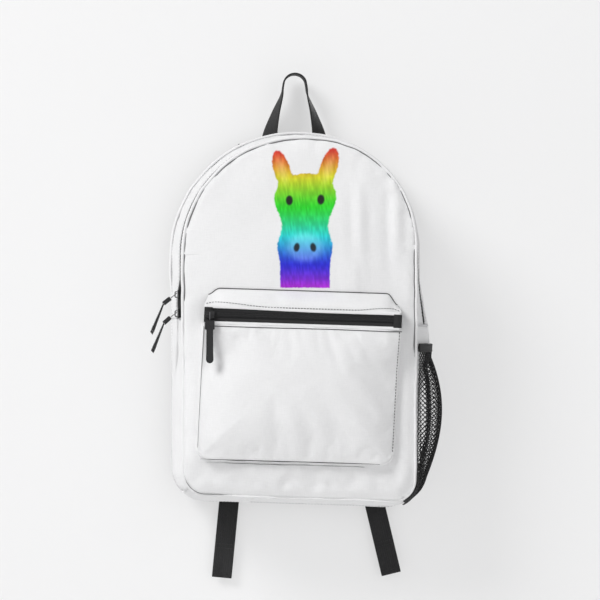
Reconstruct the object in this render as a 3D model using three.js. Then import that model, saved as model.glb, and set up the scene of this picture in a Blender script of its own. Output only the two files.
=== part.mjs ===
// A small day backpack, hanging by its haul loop. Millimetres, +Z up.
// The front of the bag faces -Y, and the back panel and shoulder straps face +Y.
// The origin is the underside of the haul loop at its highest point, where a peg or a hand bears.
import * as THREE from "three";
import { mergeVertices } from "three/addons/utils/BufferGeometryUtils.js";

// Driving dimensions of the bag's body. The front seam runs round a dome, two straight sides,
// two rounded corners and a flat bottom, and the rear seam is the same line moved out by flare.
const frontHalfWidth = 126;
const flare = 13;
const frontSeamY = -118;
const rearSeamY = -6;
const domeCentreZ = -207;
const bottomZ = -472;
const cornerRadius = 24;
const cloth = 2; // a shell of canvas and lining
const gap = 0.4; // between pieces that are sewn or pressed together

// The main zip runs over the dome and a little way down each side.
const zipEndZ = -280;
const zipFrontY = -91.6;
const zipRearY = -81.6;
const zipMiddleY = (zipFrontY + zipRearY) / 2;
const upperSliderZ = -250;
const lowerSliderZ = -271;

// The front pocket, in its own tilted group, with its zip's centre line at height 0.
const pocketZipZ = -275.3;
const pocketX = 2.7;
const pocketTilt = THREE.MathUtils.degToRad(1.8);
const pocketHalfWidth = 107;
const pocketFrontY = -144;
const pocketBottom = -156;
const pocketTopSeam = 29;
const pocketCorner = 14;
const pocketTapeHalf = 7.6;
const pocketSliderX = -101;

// A zip slider's body, and the height of the middle of its bridge's bar over its underside.
const sliderThickness = 1.8;
const bridgeGap = 0.3; // between the body and the bridge's feet
const barHeight = sliderThickness + bridgeGap + 2.4;
const gripHead = 9.4;
const gripTip = 12; // the length of the thicker end of the grip's tail
const linkLength = 6.5; // from the middle of the bridge's bar to the top of the grip
const mainLinkLean = THREE.MathUtils.degToRad(52);

// Webbing, the haul loop and the shoulder straps.
const webbing = 22.5;
const pegRadius = 12.1;
const loopFoot = 28;
const backY = 4; // the rear face of the back panel
const strapTopZ = -114;
const strapEndX = { left: -68, right: 76 };
const buckleTopZ = -390;
const tailTopZ = buckleTopZ - 31.2;
const tailLean = { left: -5.5, right: 13.3 };
const tailLength = 149;

const colours = {
  canvas: [0xf2f2f2, 0.85],
  blackCanvas: [0x232325, 0.85],
  lining: [0x8d9094, 0.8],
  foam: [0x3a3b3e, 0.95],
  webbing: [0x1c1c1e, 0.75],
  zipTape: [0x2a2a2d, 0.8],
  coil: [0x1d1d20, 0.45],
  slider: [0x303033, 0.4],
  rubber: [0x242426, 0.6],
  mesh: [0x1f1f21, 0.8],
  buckle: [0x18181a, 0.45],
};

const bag = new THREE.Group();

function material([color, roughness]) {
  return new THREE.MeshStandardMaterial({ color, roughness, metalness: 0 });
}

// A named piece, from any geometry, with its duplicate corners merged.
function piece(name, geometry, colour, parent = bag) {
  geometry.deleteAttribute("normal");
  geometry.deleteAttribute("uv");
  const mesh = new THREE.Mesh(mergeVertices(geometry, 1e-4), material(colour));
  mesh.name = name;
  parent.add(mesh);
  return mesh;
}

// Moves every corner of a geometry to the place that a function gives for it.
function bent(geometry, place) {
  const at = geometry.attributes.position;
  for (let i = 0; i < at.count; i++) {
    at.setXYZ(i, ...place(at.getX(i), at.getY(i), at.getZ(i)));
  }
  return geometry;
}

// A flat plate in the XZ plane, from a shape whose own axes are X and Z.
function plate(shape, rearY, thickness, curveSegments = 8) {
  const geometry = new THREE.ExtrudeGeometry(shape, {
    depth: thickness,
    bevelEnabled: false,
    curveSegments,
  });
  return geometry.rotateX(Math.PI / 2).translate(0, rearY, 0);
}

// A bar along X, from a profile whose own axes are Y and Z.
function bar(profile, centreX, width) {
  const shape = new THREE.Shape(profile.map(([y, z]) => new THREE.Vector2(y, z)));
  const geometry = new THREE.ExtrudeGeometry(shape, { depth: width, bevelEnabled: false });
  return bent(geometry, (y, z, x) => [centreX - width / 2 + x, y, z]);
}

function block(width, depth, height, x, y, z) {
  return new THREE.BoxGeometry(width, depth, height).translate(x, y, z);
}

// The front seam, from the middle of the bottom anticlockwise as seen from the front.
function seamPath() {
  const flat = frontHalfWidth - cornerRadius;
  const cornerZ = bottomZ + cornerRadius;
  const path = new THREE.Path();
  path.moveTo(0, bottomZ);
  path.lineTo(flat, bottomZ);
  path.absarc(flat, cornerZ, cornerRadius, -Math.PI / 2, 0);
  path.lineTo(frontHalfWidth, domeCentreZ);
  path.absarc(0, domeCentreZ, frontHalfWidth, 0, Math.PI);
  path.lineTo(-frontHalfWidth, cornerZ);
  path.absarc(-flat, cornerZ, cornerRadius, Math.PI, 1.5 * Math.PI);
  path.lineTo(0, bottomZ);
  return path;
}

const seam = seamPath();
const seamLength = seam.getLength();
const cornerStart = frontHalfWidth - cornerRadius;
const cornerMiddle = cornerStart + (Math.PI / 4) * cornerRadius;
const sideStart = cornerStart + (Math.PI / 2) * cornerRadius;
const domeStart = sideStart + (domeCentreZ - bottomZ - cornerRadius);
const zipStart = sideStart + (zipEndZ - bottomZ - cornerRadius);

// Every piece that follows the seam bends at the same distances along it, close together on
// the corners and the dome.
function seamStations() {
  const half = [];
  const run = (from, to, steps) => {
    for (let i = 0; i < steps; i++) half.push(from + ((to - from) * i) / steps);
  };
  run(0, cornerStart, 2);
  run(cornerStart, sideStart, 6);
  run(sideStart, domeStart, 12);
  run(domeStart, seamLength / 2, 18);
  const mirrored = half.map((distance) => seamLength - distance).reverse();
  return [...half, seamLength / 2, ...mirrored.slice(0, -1)];
}

const stations = seamStations();

function stationsBetween(from, to) {
  const turns = [-seamLength, 0, seamLength];
  const all = turns.flatMap((turn) => stations.map((distance) => distance + turn));
  return [from, ...all.filter((at) => at > from + 0.5 && at < to - 0.5), to];
}

// The point on the seam at a distance along it, moved out by some amount: [x, z].
function onSeam(distance, out) {
  const share = (((distance / seamLength) % 1) + 1) % 1;
  const point = seam.getPoint(share);
  const along = seam.getTangent(share);
  return [point.x + along.y * out, point.y - along.x * out];
}

function flareAt(y) {
  return (flare * (y - frontSeamY)) / (rearSeamY - frontSeamY);
}

// A strip of the body's side wall. It follows the seam from one distance to another, runs from
// one depth to another, and its thickness lies between two offsets from the wall's outer face.
function wall(from, to, y0, y1, inner, outer) {
  const stops = stationsBetween(from, to);
  const steps = stops.length - 1;
  const strip = new THREE.BoxGeometry(1, 1, 1, steps, 1, 1);
  return bent(strip, (a, b, c) => {
    const y = y0 + (c + 0.5) * (y1 - y0);
    const out = inner + (b + 0.5) * (outer - inner);
    const [x, z] = onSeam(stops[Math.round((a + 0.5) * steps)], out + flareAt(y));
    return [x, y, z];
  });
}

// A closed cord of round section that follows the whole seam, standing out from it.
function piping(y, out, radius) {
  const steps = stations.length;
  const ring = new THREE.TorusGeometry(10, radius, 6, steps);
  return bent(ring, (x, z, depth) => {
    const step = Math.round((Math.atan2(z, x) / (2 * Math.PI)) * steps);
    const distance = stations[(step + steps) % steps];
    const [px, pz] = onSeam(distance, out + Math.hypot(x, z) - 10);
    return [px, y - depth, pz];
  });
}

// The seam's outline moved out by some amount, as a shape.
function seamShape(out) {
  return new THREE.Shape(
    stations.map((distance) => {
      const [x, z] = onSeam(distance, out);
      return new THREE.Vector2(x, z);
    }),
  );
}

// A flat ribbon in plan: a smooth line through points, as wide at each share of its length as
// the width function says.
function ribbonShape(points, widthAt) {
  const line = new THREE.SplineCurve(points.map(([x, z]) => new THREE.Vector2(x, z)));
  const steps = 14;
  const edges = [[], []];
  for (let i = 0; i <= steps; i++) {
    const share = i / steps;
    const at = line.getPointAt(share);
    const along = line.getTangentAt(share);
    const half = widthAt(share) / 2;
    edges[0].push(new THREE.Vector2(at.x - along.y * half, at.y + along.x * half));
    edges[1].push(new THREE.Vector2(at.x + along.y * half, at.y - along.x * half));
  }
  return new THREE.Shape([...edges[0], ...edges[1].reverse()]);
}

function addBody() {
  const right = zipStart + gap / 2;
  const left = seamLength - zipStart - gap / 2;
  const front = frontSeamY + gap;

  piece("front_panel", plate(seamShape(0), frontSeamY, cloth), colours.canvas);
  piece("front_piping", piping(frontSeamY - 1.6, 2.4, 1.8), colours.canvas);
  piece("rear_piping", piping(rearSeamY + 2.4, flare + 2.4, 1.8), colours.canvas);

  piece("top_gusset_front", wall(right, left, front, zipFrontY, -cloth, 0), colours.canvas);
  piece("top_gusset_rear", wall(right, left, zipRearY, rearSeamY, -cloth, 0), colours.canvas);
  const sides = { right: [cornerMiddle, zipStart - gap / 2] };
  sides.left = [seamLength - sides.right[1], seamLength - sides.right[0]];
  for (const [side, [from, to]] of Object.entries(sides)) {
    piece(`side_panel_${side}`, wall(from, to, front, rearSeamY, -cloth, 0), colours.canvas);
  }
  const edge = cornerMiddle - gap;
  piece("bottom_panel", wall(-edge, edge, front, rearSeamY, -cloth, 0), colours.canvas);
}

// The padded back is a sandwich: an outer cloth, a foam sheet and a lining, with a padded
// laptop sleeve inside the bag against it.
function addBack() {
  piece("back_panel", plate(seamShape(flare), backY, 1.6), colours.blackCanvas);
  piece("back_foam", plate(seamShape(flare - 6), 2.1, 5.4), colours.foam);
  piece("back_lining", plate(seamShape(flare - 0.5), -3.6, 1.2), colours.lining);
  const sleeve = new THREE.Shape();
  const half = 118;
  const low = bottomZ - 4;
  sleeve.moveTo(-half, low);
  sleeve.lineTo(half, low);
  sleeve.lineTo(half, -200);
  sleeve.lineTo(-half, -200);
  piece("laptop_sleeve", plate(sleeve, -7, 5), colours.lining);
  piece("sleeve_binding", block(2 * half, 6.4, 3, 0, -9.5, -198.1), colours.webbing);
}

function addMainZip() {
  const from = zipStart + 1;
  const to = seamLength - zipStart - 1;
  const middle = zipMiddleY;
  const tape = (y0, y1) => wall(from, to, y0, y1, -1.6, -0.8);
  piece("main_zip_tape_front", tape(zipFrontY + gap, middle - gap / 2), colours.zipTape);
  piece("main_zip_tape_rear", tape(middle + gap / 2, zipRearY - gap), colours.zipTape);
  piece(
    "main_zip_coil",
    wall(from + 2, to - 2, middle - 2.6, middle + 2.6, -0.4, 0.9),
    colours.coil,
  );
}

// A zip slider, with its long side along its own X and its height along -Y: a shield-shaped
// body, and a bridge over it for the pull's link.
function sliderBody() {
  const body = new THREE.Shape();
  body.moveTo(-5, -2.6);
  body.lineTo(0, -4.4);
  body.lineTo(5, -3.6);
  body.lineTo(5, 3.6);
  body.lineTo(0, 4.4);
  body.lineTo(-5, 2.6);
  return plate(body, 0, sliderThickness);
}

function sliderBridge() {
  const arch = new THREE.Shape();
  arch.moveTo(-3.6, 0);
  arch.lineTo(-3.6, 2);
  arch.lineTo(-2.6, 3);
  arch.lineTo(2.6, 3);
  arch.lineTo(3.6, 2);
  arch.lineTo(3.6, 0);
  arch.lineTo(2.6, 0);
  arch.lineTo(2.6, 1.8);
  arch.lineTo(-2.6, 1.8);
  arch.lineTo(-2.6, 0);
  const geometry = new THREE.ExtrudeGeometry(arch, { depth: 1.6, bevelEnabled: false });
  return bent(geometry, (x, height, z) => [x, -sliderThickness - bridgeGap - height, 0.8 - z]);
}

// The link is an oval ring that hangs round the bridge's bar, down its own -Z.
function pullLink() {
  const ring = new THREE.Shape();
  ring.absellipse(0, -1.8, 2.4, 4.4, 0, 2 * Math.PI);
  const hole = new THREE.Path();
  hole.absellipse(0, -1.8, 1.6, 3.6, 0, 2 * Math.PI, true);
  ring.holes.push(hole);
  return plate(ring, 0.4, 0.8, 6).rotateZ(Math.PI / 2);
}

// The moulded grip: a short wide head, and a thin narrower tail with a thicker round end. The
// tail is bent back from the line of the head.
function pullGrip(length, bend) {
  const grip = new THREE.Shape();
  grip.moveTo(-5.2, 0);
  grip.lineTo(-5.2, -gripHead);
  grip.lineTo(-3.6, -gripHead - 0.6);
  grip.lineTo(-3.8, gripTip - length);
  grip.lineTo(-4, 4 - length);
  grip.absarc(0, 4 - length, 4, Math.PI, 2 * Math.PI);
  grip.lineTo(3.8, gripTip - length);
  grip.lineTo(3.6, -gripHead - 0.6);
  grip.lineTo(5.2, -gripHead);
  grip.lineTo(5.2, 0);
  const half = (z) => {
    if (z >= -gripHead) return 2.1;
    return z > gripTip - length - 0.1 ? 0.9 : 2;
  };
  return bent(plate(grip, 1, 2, 5), (x, side, z) => [
    x,
    side * half(z) + Math.min(gripHead + z, 0) * Math.tan(bend),
    z,
  ]);
}

// One zip's running parts, round the middle of the bridge's bar. The link and the grip's head
// lean out from the vertical, the grip turns about its own length, and its tail bends back.
function addRunner(name, holder, { linkLean, lean, gripTurn, gripLength, bend }) {
  const slider = new THREE.Group();
  slider.position.y = barHeight;
  const body = new THREE.Group();
  body.add(slider);
  holder.add(body);
  piece(`${name}_slider`, sliderBody(), colours.slider, slider);
  piece(`${name}_bridge`, sliderBridge(), colours.slider, slider);

  const link = new THREE.Group();
  link.rotation.y = linkLean;
  holder.add(link);
  piece(`${name}_link`, pullLink(), colours.slider, link);

  const grip = new THREE.Group();
  grip.position.set(0, 0, -linkLength).applyAxisAngle(new THREE.Vector3(0, 1, 0), linkLean);
  grip.rotation.set(0, lean, gripTurn, "YZX");
  holder.add(grip);
  piece(`${name}_pull`, pullGrip(gripLength, bend), colours.rubber, grip);
  return body;
}

function addMainRunners() {
  const wallX = -(frontHalfWidth + flareAt(zipMiddleY));
  const gripTailLean = 22;
  const runners = [
    ["upper", upperSliderZ, 52],
    ["lower", lowerSliderZ, 48],
  ];
  for (const [place, z, lean] of runners) {
    const holder = new THREE.Group();
    holder.position.set(wallX - 1.3 - barHeight, zipMiddleY, z);
    bag.add(holder);
    const body = addRunner(`main_${place}`, holder, {
      linkLean: mainLinkLean,
      lean: THREE.MathUtils.degToRad(lean),
      gripTurn: Math.PI / 2,
      gripLength: 40,
      bend: THREE.MathUtils.degToRad(lean - gripTailLean),
    });
    // The slider's long side points up the zip, and its height points out of the bag's side.
    const up = new THREE.Vector3(0, 0, 1);
    const inward = new THREE.Vector3(1, 0, 0);
    const back = new THREE.Vector3(0, 1, 0);
    body.setRotationFromMatrix(new THREE.Matrix4().makeBasis(up, inward, back));
  }
}

function addPocket() {
  const pocket = new THREE.Group();
  pocket.position.set(pocketX, 0, pocketZipZ);
  pocket.rotation.y = pocketTilt;
  bag.add(pocket);
  const half = pocketHalfWidth;
  const seamPlane = frontSeamY - cloth - gap;
  const backOfFace = pocketFrontY + cloth + gap;

  const face = new THREE.Shape();
  face.moveTo(half, -pocketTapeHalf - gap);
  face.lineTo(-half, -pocketTapeHalf - gap);
  face.lineTo(-half, pocketBottom + pocketCorner);
  face.absarc(-half + pocketCorner, pocketBottom + pocketCorner, pocketCorner, Math.PI, 1.5 * Math.PI);
  face.lineTo(half - pocketCorner, pocketBottom);
  face.absarc(half - pocketCorner, pocketBottom + pocketCorner, pocketCorner, 1.5 * Math.PI, 2 * Math.PI);
  piece("pocket_front", plate(face, pocketFrontY + cloth, cloth), colours.canvas, pocket);

  const top = pocketTapeHalf + gap;
  const topStrip = [
    [pocketFrontY, top],
    [pocketFrontY + cloth, top],
    [seamPlane, pocketTopSeam - cloth],
    [seamPlane, pocketTopSeam],
    [pocketFrontY, top + cloth],
  ];
  piece("pocket_top", bar(topStrip, 0, 2 * half), colours.canvas, pocket);

  // Each side of the gusset narrows towards the top seam.
  const underStrip = top - gap;
  const sideProfile = [
    [backOfFace, pocketBottom + pocketCorner],
    [seamPlane, pocketBottom + pocketCorner],
    [seamPlane, pocketTopSeam - cloth - 1],
    [backOfFace, underStrip],
  ];
  for (const [side, sign] of [["left", -1], ["right", 1]]) {
    const place = sign * (half - cloth / 2);
    piece(`pocket_gusset_${side}`, bar(sideProfile, place, cloth), colours.canvas, pocket);
  }
  const low = pocketBottom;
  const bend = pocketCorner * 0.3;
  const bottomProfile = [
    [-half, low + pocketCorner - gap],
    [-half + bend, low + bend],
    [-half + pocketCorner, low],
    [half - pocketCorner, low],
    [half - bend, low + bend],
    [half, low + pocketCorner - gap],
    [half - cloth, low + pocketCorner - gap],
    [half - bend - cloth, low + bend + cloth],
    [half - pocketCorner - cloth, low + cloth],
    [-half + pocketCorner + cloth, low + cloth],
    [-half + bend + cloth, low + bend + cloth],
    [-half + cloth, low + pocketCorner - gap],
  ];
  const bottomShape = new THREE.Shape(bottomProfile.map(([x, z]) => new THREE.Vector2(x, z)));
  const bottomDepth = seamPlane - backOfFace;
  piece("pocket_gusset_bottom", plate(bottomShape, seamPlane, bottomDepth), colours.canvas, pocket);

  addPocketZip(pocket);
}

function addPocketZip(pocket) {
  const y = pocketFrontY + 1;
  const tapeLength = 2 * pocketHalfWidth - 14;
  const tapeHeight = pocketTapeHalf - gap;
  for (const [side, sign] of [["upper", 1], ["lower", -1]]) {
    const z = (sign * (pocketTapeHalf + gap)) / 2;
    piece(
      `pocket_zip_tape_${side}`,
      block(tapeLength, 0.8, tapeHeight, 0, y, z),
      colours.zipTape,
      pocket,
    );
  }
  piece("pocket_zip_coil", block(tapeLength - 8, 1.4, 5.2, 0, y - 1.5, 0), colours.coil, pocket);
  for (const [side, sign] of [["left", -1], ["right", 1]]) {
    const x = sign * (pocketHalfWidth - 3.2);
    piece(
      `pocket_zip_end_${side}`,
      block(6, 1.6, 2 * pocketTapeHalf, x, y, 0),
      colours.webbing,
      pocket,
    );
  }
  const holder = new THREE.Group();
  holder.position.set(pocketSliderX, y - 2.6 - barHeight, 0);
  pocket.add(holder);
  const upright = -pocketTilt;
  addRunner("pocket", holder, {
    linkLean: upright,
    lean: upright,
    gripTurn: 0,
    gripLength: 46,
    bend: 0,
  });
}

// The mesh pocket stands out from the right side panel: flush at its seams, fullest below the
// middle, and gathered to a small mouth at the top by an elastic binding.
function addSidePocket() {
  const stops = stationsBetween(sideStart - (Math.PI / 3) * cornerRadius, zipStart - 31);
  const steps = stops.length - 1;
  const [from, to] = [stops[0], stops[steps]];
  const fullness = 25;
  const mouth = 11;
  const stand = (rise, across) => {
    const belly = Math.sin(Math.PI * Math.pow(Math.max(1 - rise, 0), 0.85));
    const lip = mouth * Math.pow(rise, 3);
    return (fullness * belly + lip) * Math.sin(Math.PI * across);
  };
  const y0 = frontSeamY + 6;
  const y1 = rearSeamY - 4;
  const place = (rise, across, out) => {
    const y = y0 + across * (y1 - y0);
    const [x, z] = onSeam(from + rise * (to - from), out + stand(rise, across) + flareAt(y));
    return [x, y, z];
  };
  const net = new THREE.BoxGeometry(1, 1, 1, steps, 1, 12);
  piece(
    "side_mesh_pocket",
    bent(net, (a, b, c) => {
      const rise = (stops[Math.round((a + 0.5) * steps)] - from) / (to - from);
      return place(rise, c + 0.5, 1.1 + 1.2 * b);
    }),
    colours.mesh,
  );
  const rim = new THREE.BoxGeometry(1, 1, 1, 1, 1, 12);
  const rimHeight = 9 / (to - from);
  piece(
    "mesh_pocket_binding",
    bent(rim, (a, b, c) => place(1 + gap / 100 + (a + 0.5) * rimHeight, c + 0.5, 1.3 + 1.6 * b)),
    colours.webbing,
  );
}

// The haul loop's two feet lie flat on the back, and each leg twists a quarter turn on its way
// up, so that the webbing lies square over a peg.
function addHaulLoop() {
  const radius = pegRadius + 0.9;
  const footZ = -98;
  const legs = [
    [loopFoot, footZ],
    [loopFoot, -70],
    [22, -45],
    [15, -24],
  ];
  const over = Array.from({ length: 7 }, (_, i) => {
    const turn = (i / 6) * Math.PI;
    return [radius * Math.cos(turn), -pegRadius + radius * Math.sin(turn)];
  });
  const points = [...legs, ...over, ...legs.map(([x, z]) => [-x, z]).reverse()];
  const line = new THREE.SplineCurve(points.map(([x, z]) => new THREE.Vector2(x, z)));
  const strip = new THREE.BoxGeometry(1, webbing, 1.8, 64, 3, 1);
  const twisted = bent(strip, (along, across, through) => {
    const share = along + 0.5;
    const at = line.getPointAt(share);
    const way = line.getTangentAt(share);
    const lift = THREE.MathUtils.smoothstep(at.y, -72, -16);
    const turn = lift * (Math.PI / 2);
    const sideways = across * Math.cos(turn) - through * Math.sin(turn);
    const forward = across * Math.sin(turn) + through * Math.cos(turn);
    const back = 5.3 * (1 - THREE.MathUtils.smoothstep(at.y, -70, -20));
    return [at.x - way.y * sideways, back - forward, at.y + way.x * sideways];
  });
  piece("haul_loop", twisted, colours.webbing);
  piece("strap_yoke", block(128, 1.6, 26, 0, 7.4, -91), colours.webbing);
}

function addStraps() {
  for (const [side, sign] of [["left", -1], ["right", 1]]) {
    const end = strapEndX[side];
    const across = (points) => points.map(([x, z]) => [sign * x, z]);

    const padLine = [
      ...across([[34, strapTopZ], [52, -168], [72, -235], [76, -310]]),
      [end + sign, buckleTopZ + 30],
      [end, buckleTopZ + 6],
    ];
    const padWidth = (share) => 56 + 8 * Math.sin(Math.PI * share) - 16 * share * share;
    piece(
      `strap_pad_${side}`,
      plate(ribbonShape(padLine, padWidth), backY + 10.6, 10),
      colours.blackCanvas,
    );

    addBuckle(side, end);

    // The adjusting webbing leaves the buckle downwards and turns out to its corner anchor.
    const webbingLine = [
      [end, buckleTopZ - 20.8],
      [end + 1.5 * sign, buckleTopZ - 36],
      ...across([[92, -450], [118, -468]]),
    ];
    piece(
      `strap_webbing_${side}`,
      plate(ribbonShape(webbingLine, () => webbing), backY + 2.7, 1.1),
      colours.webbing,
    );
    const anchor = across([[96, -440], [124, -474], [133, -462], [134, -440]]);
    const anchorShape = new THREE.Shape(anchor.map(([x, z]) => new THREE.Vector2(x, z)));
    piece(`strap_anchor_${side}`, plate(anchorShape, backY + 1.3, 0.9), colours.webbing);

    addTail(side, end);
  }
}

// The spare webbing hangs free. Its end is folded back on itself and sewn.
function addTail(side, end) {
  const lean = THREE.MathUtils.degToRad(tailLean[side]);
  const tail = new THREE.Group();
  tail.position.set(end, backY + 7.8, tailTopZ);
  tail.rotation.y = -lean;
  bag.add(tail);
  const start = 0.4 + (webbing / 2) * Math.abs(Math.tan(lean));
  const fold = 42;
  const strap = block(webbing, 1.4, tailLength - start, 0, 0, -(tailLength + start) / 2);
  piece(`strap_tail_${side}`, strap, colours.webbing, tail);
  const hem = block(webbing - 0.6, 1.4, fold, 0, 1.8, fold / 2 - tailLength);
  piece(`tail_hem_${side}`, hem, colours.webbing, tail);
}

// A ladder lock: a frame with a bar at its top, middle and bottom. A sewn loop holds its top
// bar to the pad, and the adjusting webbing turns over its middle bar.
function addBuckle(side, centre) {
  const halfWidth = 17;
  const slot = 12.4;
  const top = buckleTopZ;
  const outline = new THREE.Shape();
  outline.moveTo(centre - halfWidth, top - 30);
  outline.lineTo(centre + halfWidth, top - 30);
  outline.lineTo(centre + halfWidth - 1.5, top);
  outline.lineTo(centre - halfWidth + 1.5, top);
  for (const [high, low] of [[top - 4, top - 13], [top - 17, top - 26]]) {
    const hole = new THREE.Path();
    hole.moveTo(centre - slot, high);
    hole.lineTo(centre + slot, high);
    hole.lineTo(centre + slot, low);
    hole.lineTo(centre - slot, low);
    outline.holes.push(hole);
  }
  piece(`ladder_lock_${side}`, plate(outline, backY + 6.2, 3), colours.buckle);

  const inside = backY + 2.9;
  const outside = backY + 6.5;
  const thick = 1.4;
  const padEnd = top + 4.4;
  const loopProfile = [
    [inside, padEnd],
    [inside - thick, padEnd],
    [inside - thick, top - 4.3 - thick],
    [outside + thick, top - 4.3 - thick],
    [outside + thick, padEnd],
    [outside, padEnd],
    [outside, top - 4.3],
    [inside, top - 4.3],
  ];
  piece(`buckle_loop_${side}`, bar(loopProfile, centre, webbing), colours.webbing);

  const turnTop = top - 12.7;
  const legEnd = top - 30.8;
  const turnProfile = [
    [inside, top - 19],
    [inside, turnTop],
    [outside, turnTop],
    [outside, legEnd],
    [outside + thick, legEnd],
    [outside + thick, turnTop + thick],
    [inside - thick, turnTop + thick],
    [inside - thick, top - 19],
  ];
  piece(`webbing_turn_${side}`, bar(turnProfile, centre, webbing), colours.webbing);
}

addBody();
addBack();
addMainZip();
addMainRunners();
addPocket();
addSidePocket();
addHaulLoop();
addStraps();

export default bag;
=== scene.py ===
"""A white canvas backpack that hangs by its haul loop: the cloth, zips, net, webbing and print round the
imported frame. Metres, +Z up, the front of the bag faces -Y."""
import math

import bmesh
import bpy
import numpy as np
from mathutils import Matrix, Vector


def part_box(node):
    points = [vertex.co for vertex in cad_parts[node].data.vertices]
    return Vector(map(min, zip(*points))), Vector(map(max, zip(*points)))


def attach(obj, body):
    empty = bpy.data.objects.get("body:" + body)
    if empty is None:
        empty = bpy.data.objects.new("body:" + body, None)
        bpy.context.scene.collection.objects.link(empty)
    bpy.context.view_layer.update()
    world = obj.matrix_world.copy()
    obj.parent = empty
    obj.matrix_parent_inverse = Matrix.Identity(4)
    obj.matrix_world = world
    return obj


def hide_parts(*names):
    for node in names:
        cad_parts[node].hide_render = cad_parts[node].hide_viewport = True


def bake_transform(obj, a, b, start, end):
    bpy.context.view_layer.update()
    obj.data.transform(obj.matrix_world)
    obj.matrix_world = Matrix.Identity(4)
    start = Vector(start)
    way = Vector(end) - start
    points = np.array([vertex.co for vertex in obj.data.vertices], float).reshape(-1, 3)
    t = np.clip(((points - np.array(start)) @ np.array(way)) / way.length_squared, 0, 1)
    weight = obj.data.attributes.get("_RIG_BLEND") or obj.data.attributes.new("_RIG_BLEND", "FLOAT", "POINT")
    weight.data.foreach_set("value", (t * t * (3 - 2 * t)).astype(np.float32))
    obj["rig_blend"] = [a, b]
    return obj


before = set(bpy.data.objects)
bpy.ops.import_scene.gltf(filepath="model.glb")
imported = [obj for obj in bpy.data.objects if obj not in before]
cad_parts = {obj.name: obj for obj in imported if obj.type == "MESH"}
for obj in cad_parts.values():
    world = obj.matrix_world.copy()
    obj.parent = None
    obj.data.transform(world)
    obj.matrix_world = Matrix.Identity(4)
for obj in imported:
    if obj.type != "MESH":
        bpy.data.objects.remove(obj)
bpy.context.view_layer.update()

MM = 0.001

# ---------------------------------------------------------------- sizes, from the frame

panel_low, panel_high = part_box("front_panel")
back_low, back_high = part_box("back_panel")
HALF = panel_high.x  # half the width of the front seam, and the radius of its dome
FLARE = back_high.x - HALF
FRONT_Y = panel_high.y
REAR_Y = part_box("side_panel_right")[1].y
BACK_Y = back_high.y
DOME_Z = panel_high.z - HALF
BOTTOM = panel_low.z
CORNER = 24 * MM
FLAT = HALF - CORNER
CORNER_Z = BOTTOM + CORNER
SIDE_START = FLAT + math.pi / 2 * CORNER
DOME_START = SIDE_START + DOME_Z - CORNER_Z
SEAM_LENGTH = 2 * DOME_START + math.pi * HALF
CORNER_MIDDLE = FLAT + math.pi / 4 * CORNER

ZIP_FRONT_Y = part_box("top_gusset_front")[1].y
ZIP_REAR_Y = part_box("top_gusset_rear")[0].y
ZIP_Y = (ZIP_FRONT_Y + ZIP_REAR_Y) / 2
ZIP_START = SIDE_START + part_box("top_gusset_front")[0].z - CORNER_Z

POCKET_TILT = math.radians(1.8)
POCKET_HALF = 107 * MM
POCKET_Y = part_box("pocket_front")[0].y
POCKET_BOTTOM = -156 * MM
POCKET_TOP = 29 * MM
POCKET_CORNER = 14 * MM
TAPE_HALF = 7.6 * MM
zip_low, zip_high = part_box("pocket_zip_coil")
POCKET_X = (zip_low.x + zip_high.x) / 2
POCKET_Z = (zip_low.z + zip_high.z) / 2

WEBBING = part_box("buckle_loop_left")[1].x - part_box("buckle_loop_left")[0].x
LOOP_FOOT_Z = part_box("haul_loop")[0].z
BAG_MIDDLE = Vector((0, (FRONT_Y + REAR_Y) / 2, (BOTTOM + panel_high.z) / 2))
SIDES = {"left": -1, "right": 1}


# ---------------------------------------------------------------- numbers over a surface

def smooth(low, high, value):
    share = np.clip((value - low) / (high - low), 0, 1)
    return share * share * (3 - 2 * share)


def noise(u, v, cell, seed):
    """Smooth repeatable noise from -1 to 1 over a plane."""
    size = 64
    table = np.random.default_rng(seed).uniform(-1, 1, (size, size))
    a, b = np.broadcast_arrays(np.asarray(u) / cell, np.asarray(v) / cell)
    i, j = np.floor(a).astype(int), np.floor(b).astype(int)
    fa, fb = smooth(0, 1, a - i), smooth(0, 1, b - j)
    near = table[i % size, j % size] * (1 - fa) + table[(i + 1) % size, j % size] * fa
    far = table[i % size, (j + 1) % size] * (1 - fa) + table[(i + 1) % size, (j + 1) % size] * fa
    return near * (1 - fb) + far * fb


def curve_through(points, count):
    """A smooth line through points, resampled to evenly spaced ones."""
    p = np.array(points, float)
    padded = np.vstack([2 * p[0] - p[1], p, 2 * p[-1] - p[-2]])
    t = np.linspace(0, 1, 24, endpoint=False)[:, None]
    parts = []
    for a, b, c, d in zip(padded, padded[1:], padded[2:], padded[3:]):
        parts.append(0.5 * (2 * b + (c - a) * t + (2 * a - 5 * b + 4 * c - d) * t**2
                            + (3 * b - a - 3 * c + d) * t**3))
    line = np.vstack([*parts, p[-1:]])
    return resampled(line, count)


def resampled(line, count):
    run = np.concatenate([[0], np.cumsum(np.linalg.norm(np.diff(line, axis=0), axis=1))])
    wanted = np.linspace(0, run[-1], count)
    return np.stack([np.interp(wanted, run, line[:, k]) for k in range(line.shape[1])], 1)


def unit(v):
    return v / np.maximum(np.linalg.norm(v, axis=-1, keepdims=True), 1e-12)


# ---------------------------------------------------------------- the bag's form

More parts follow.
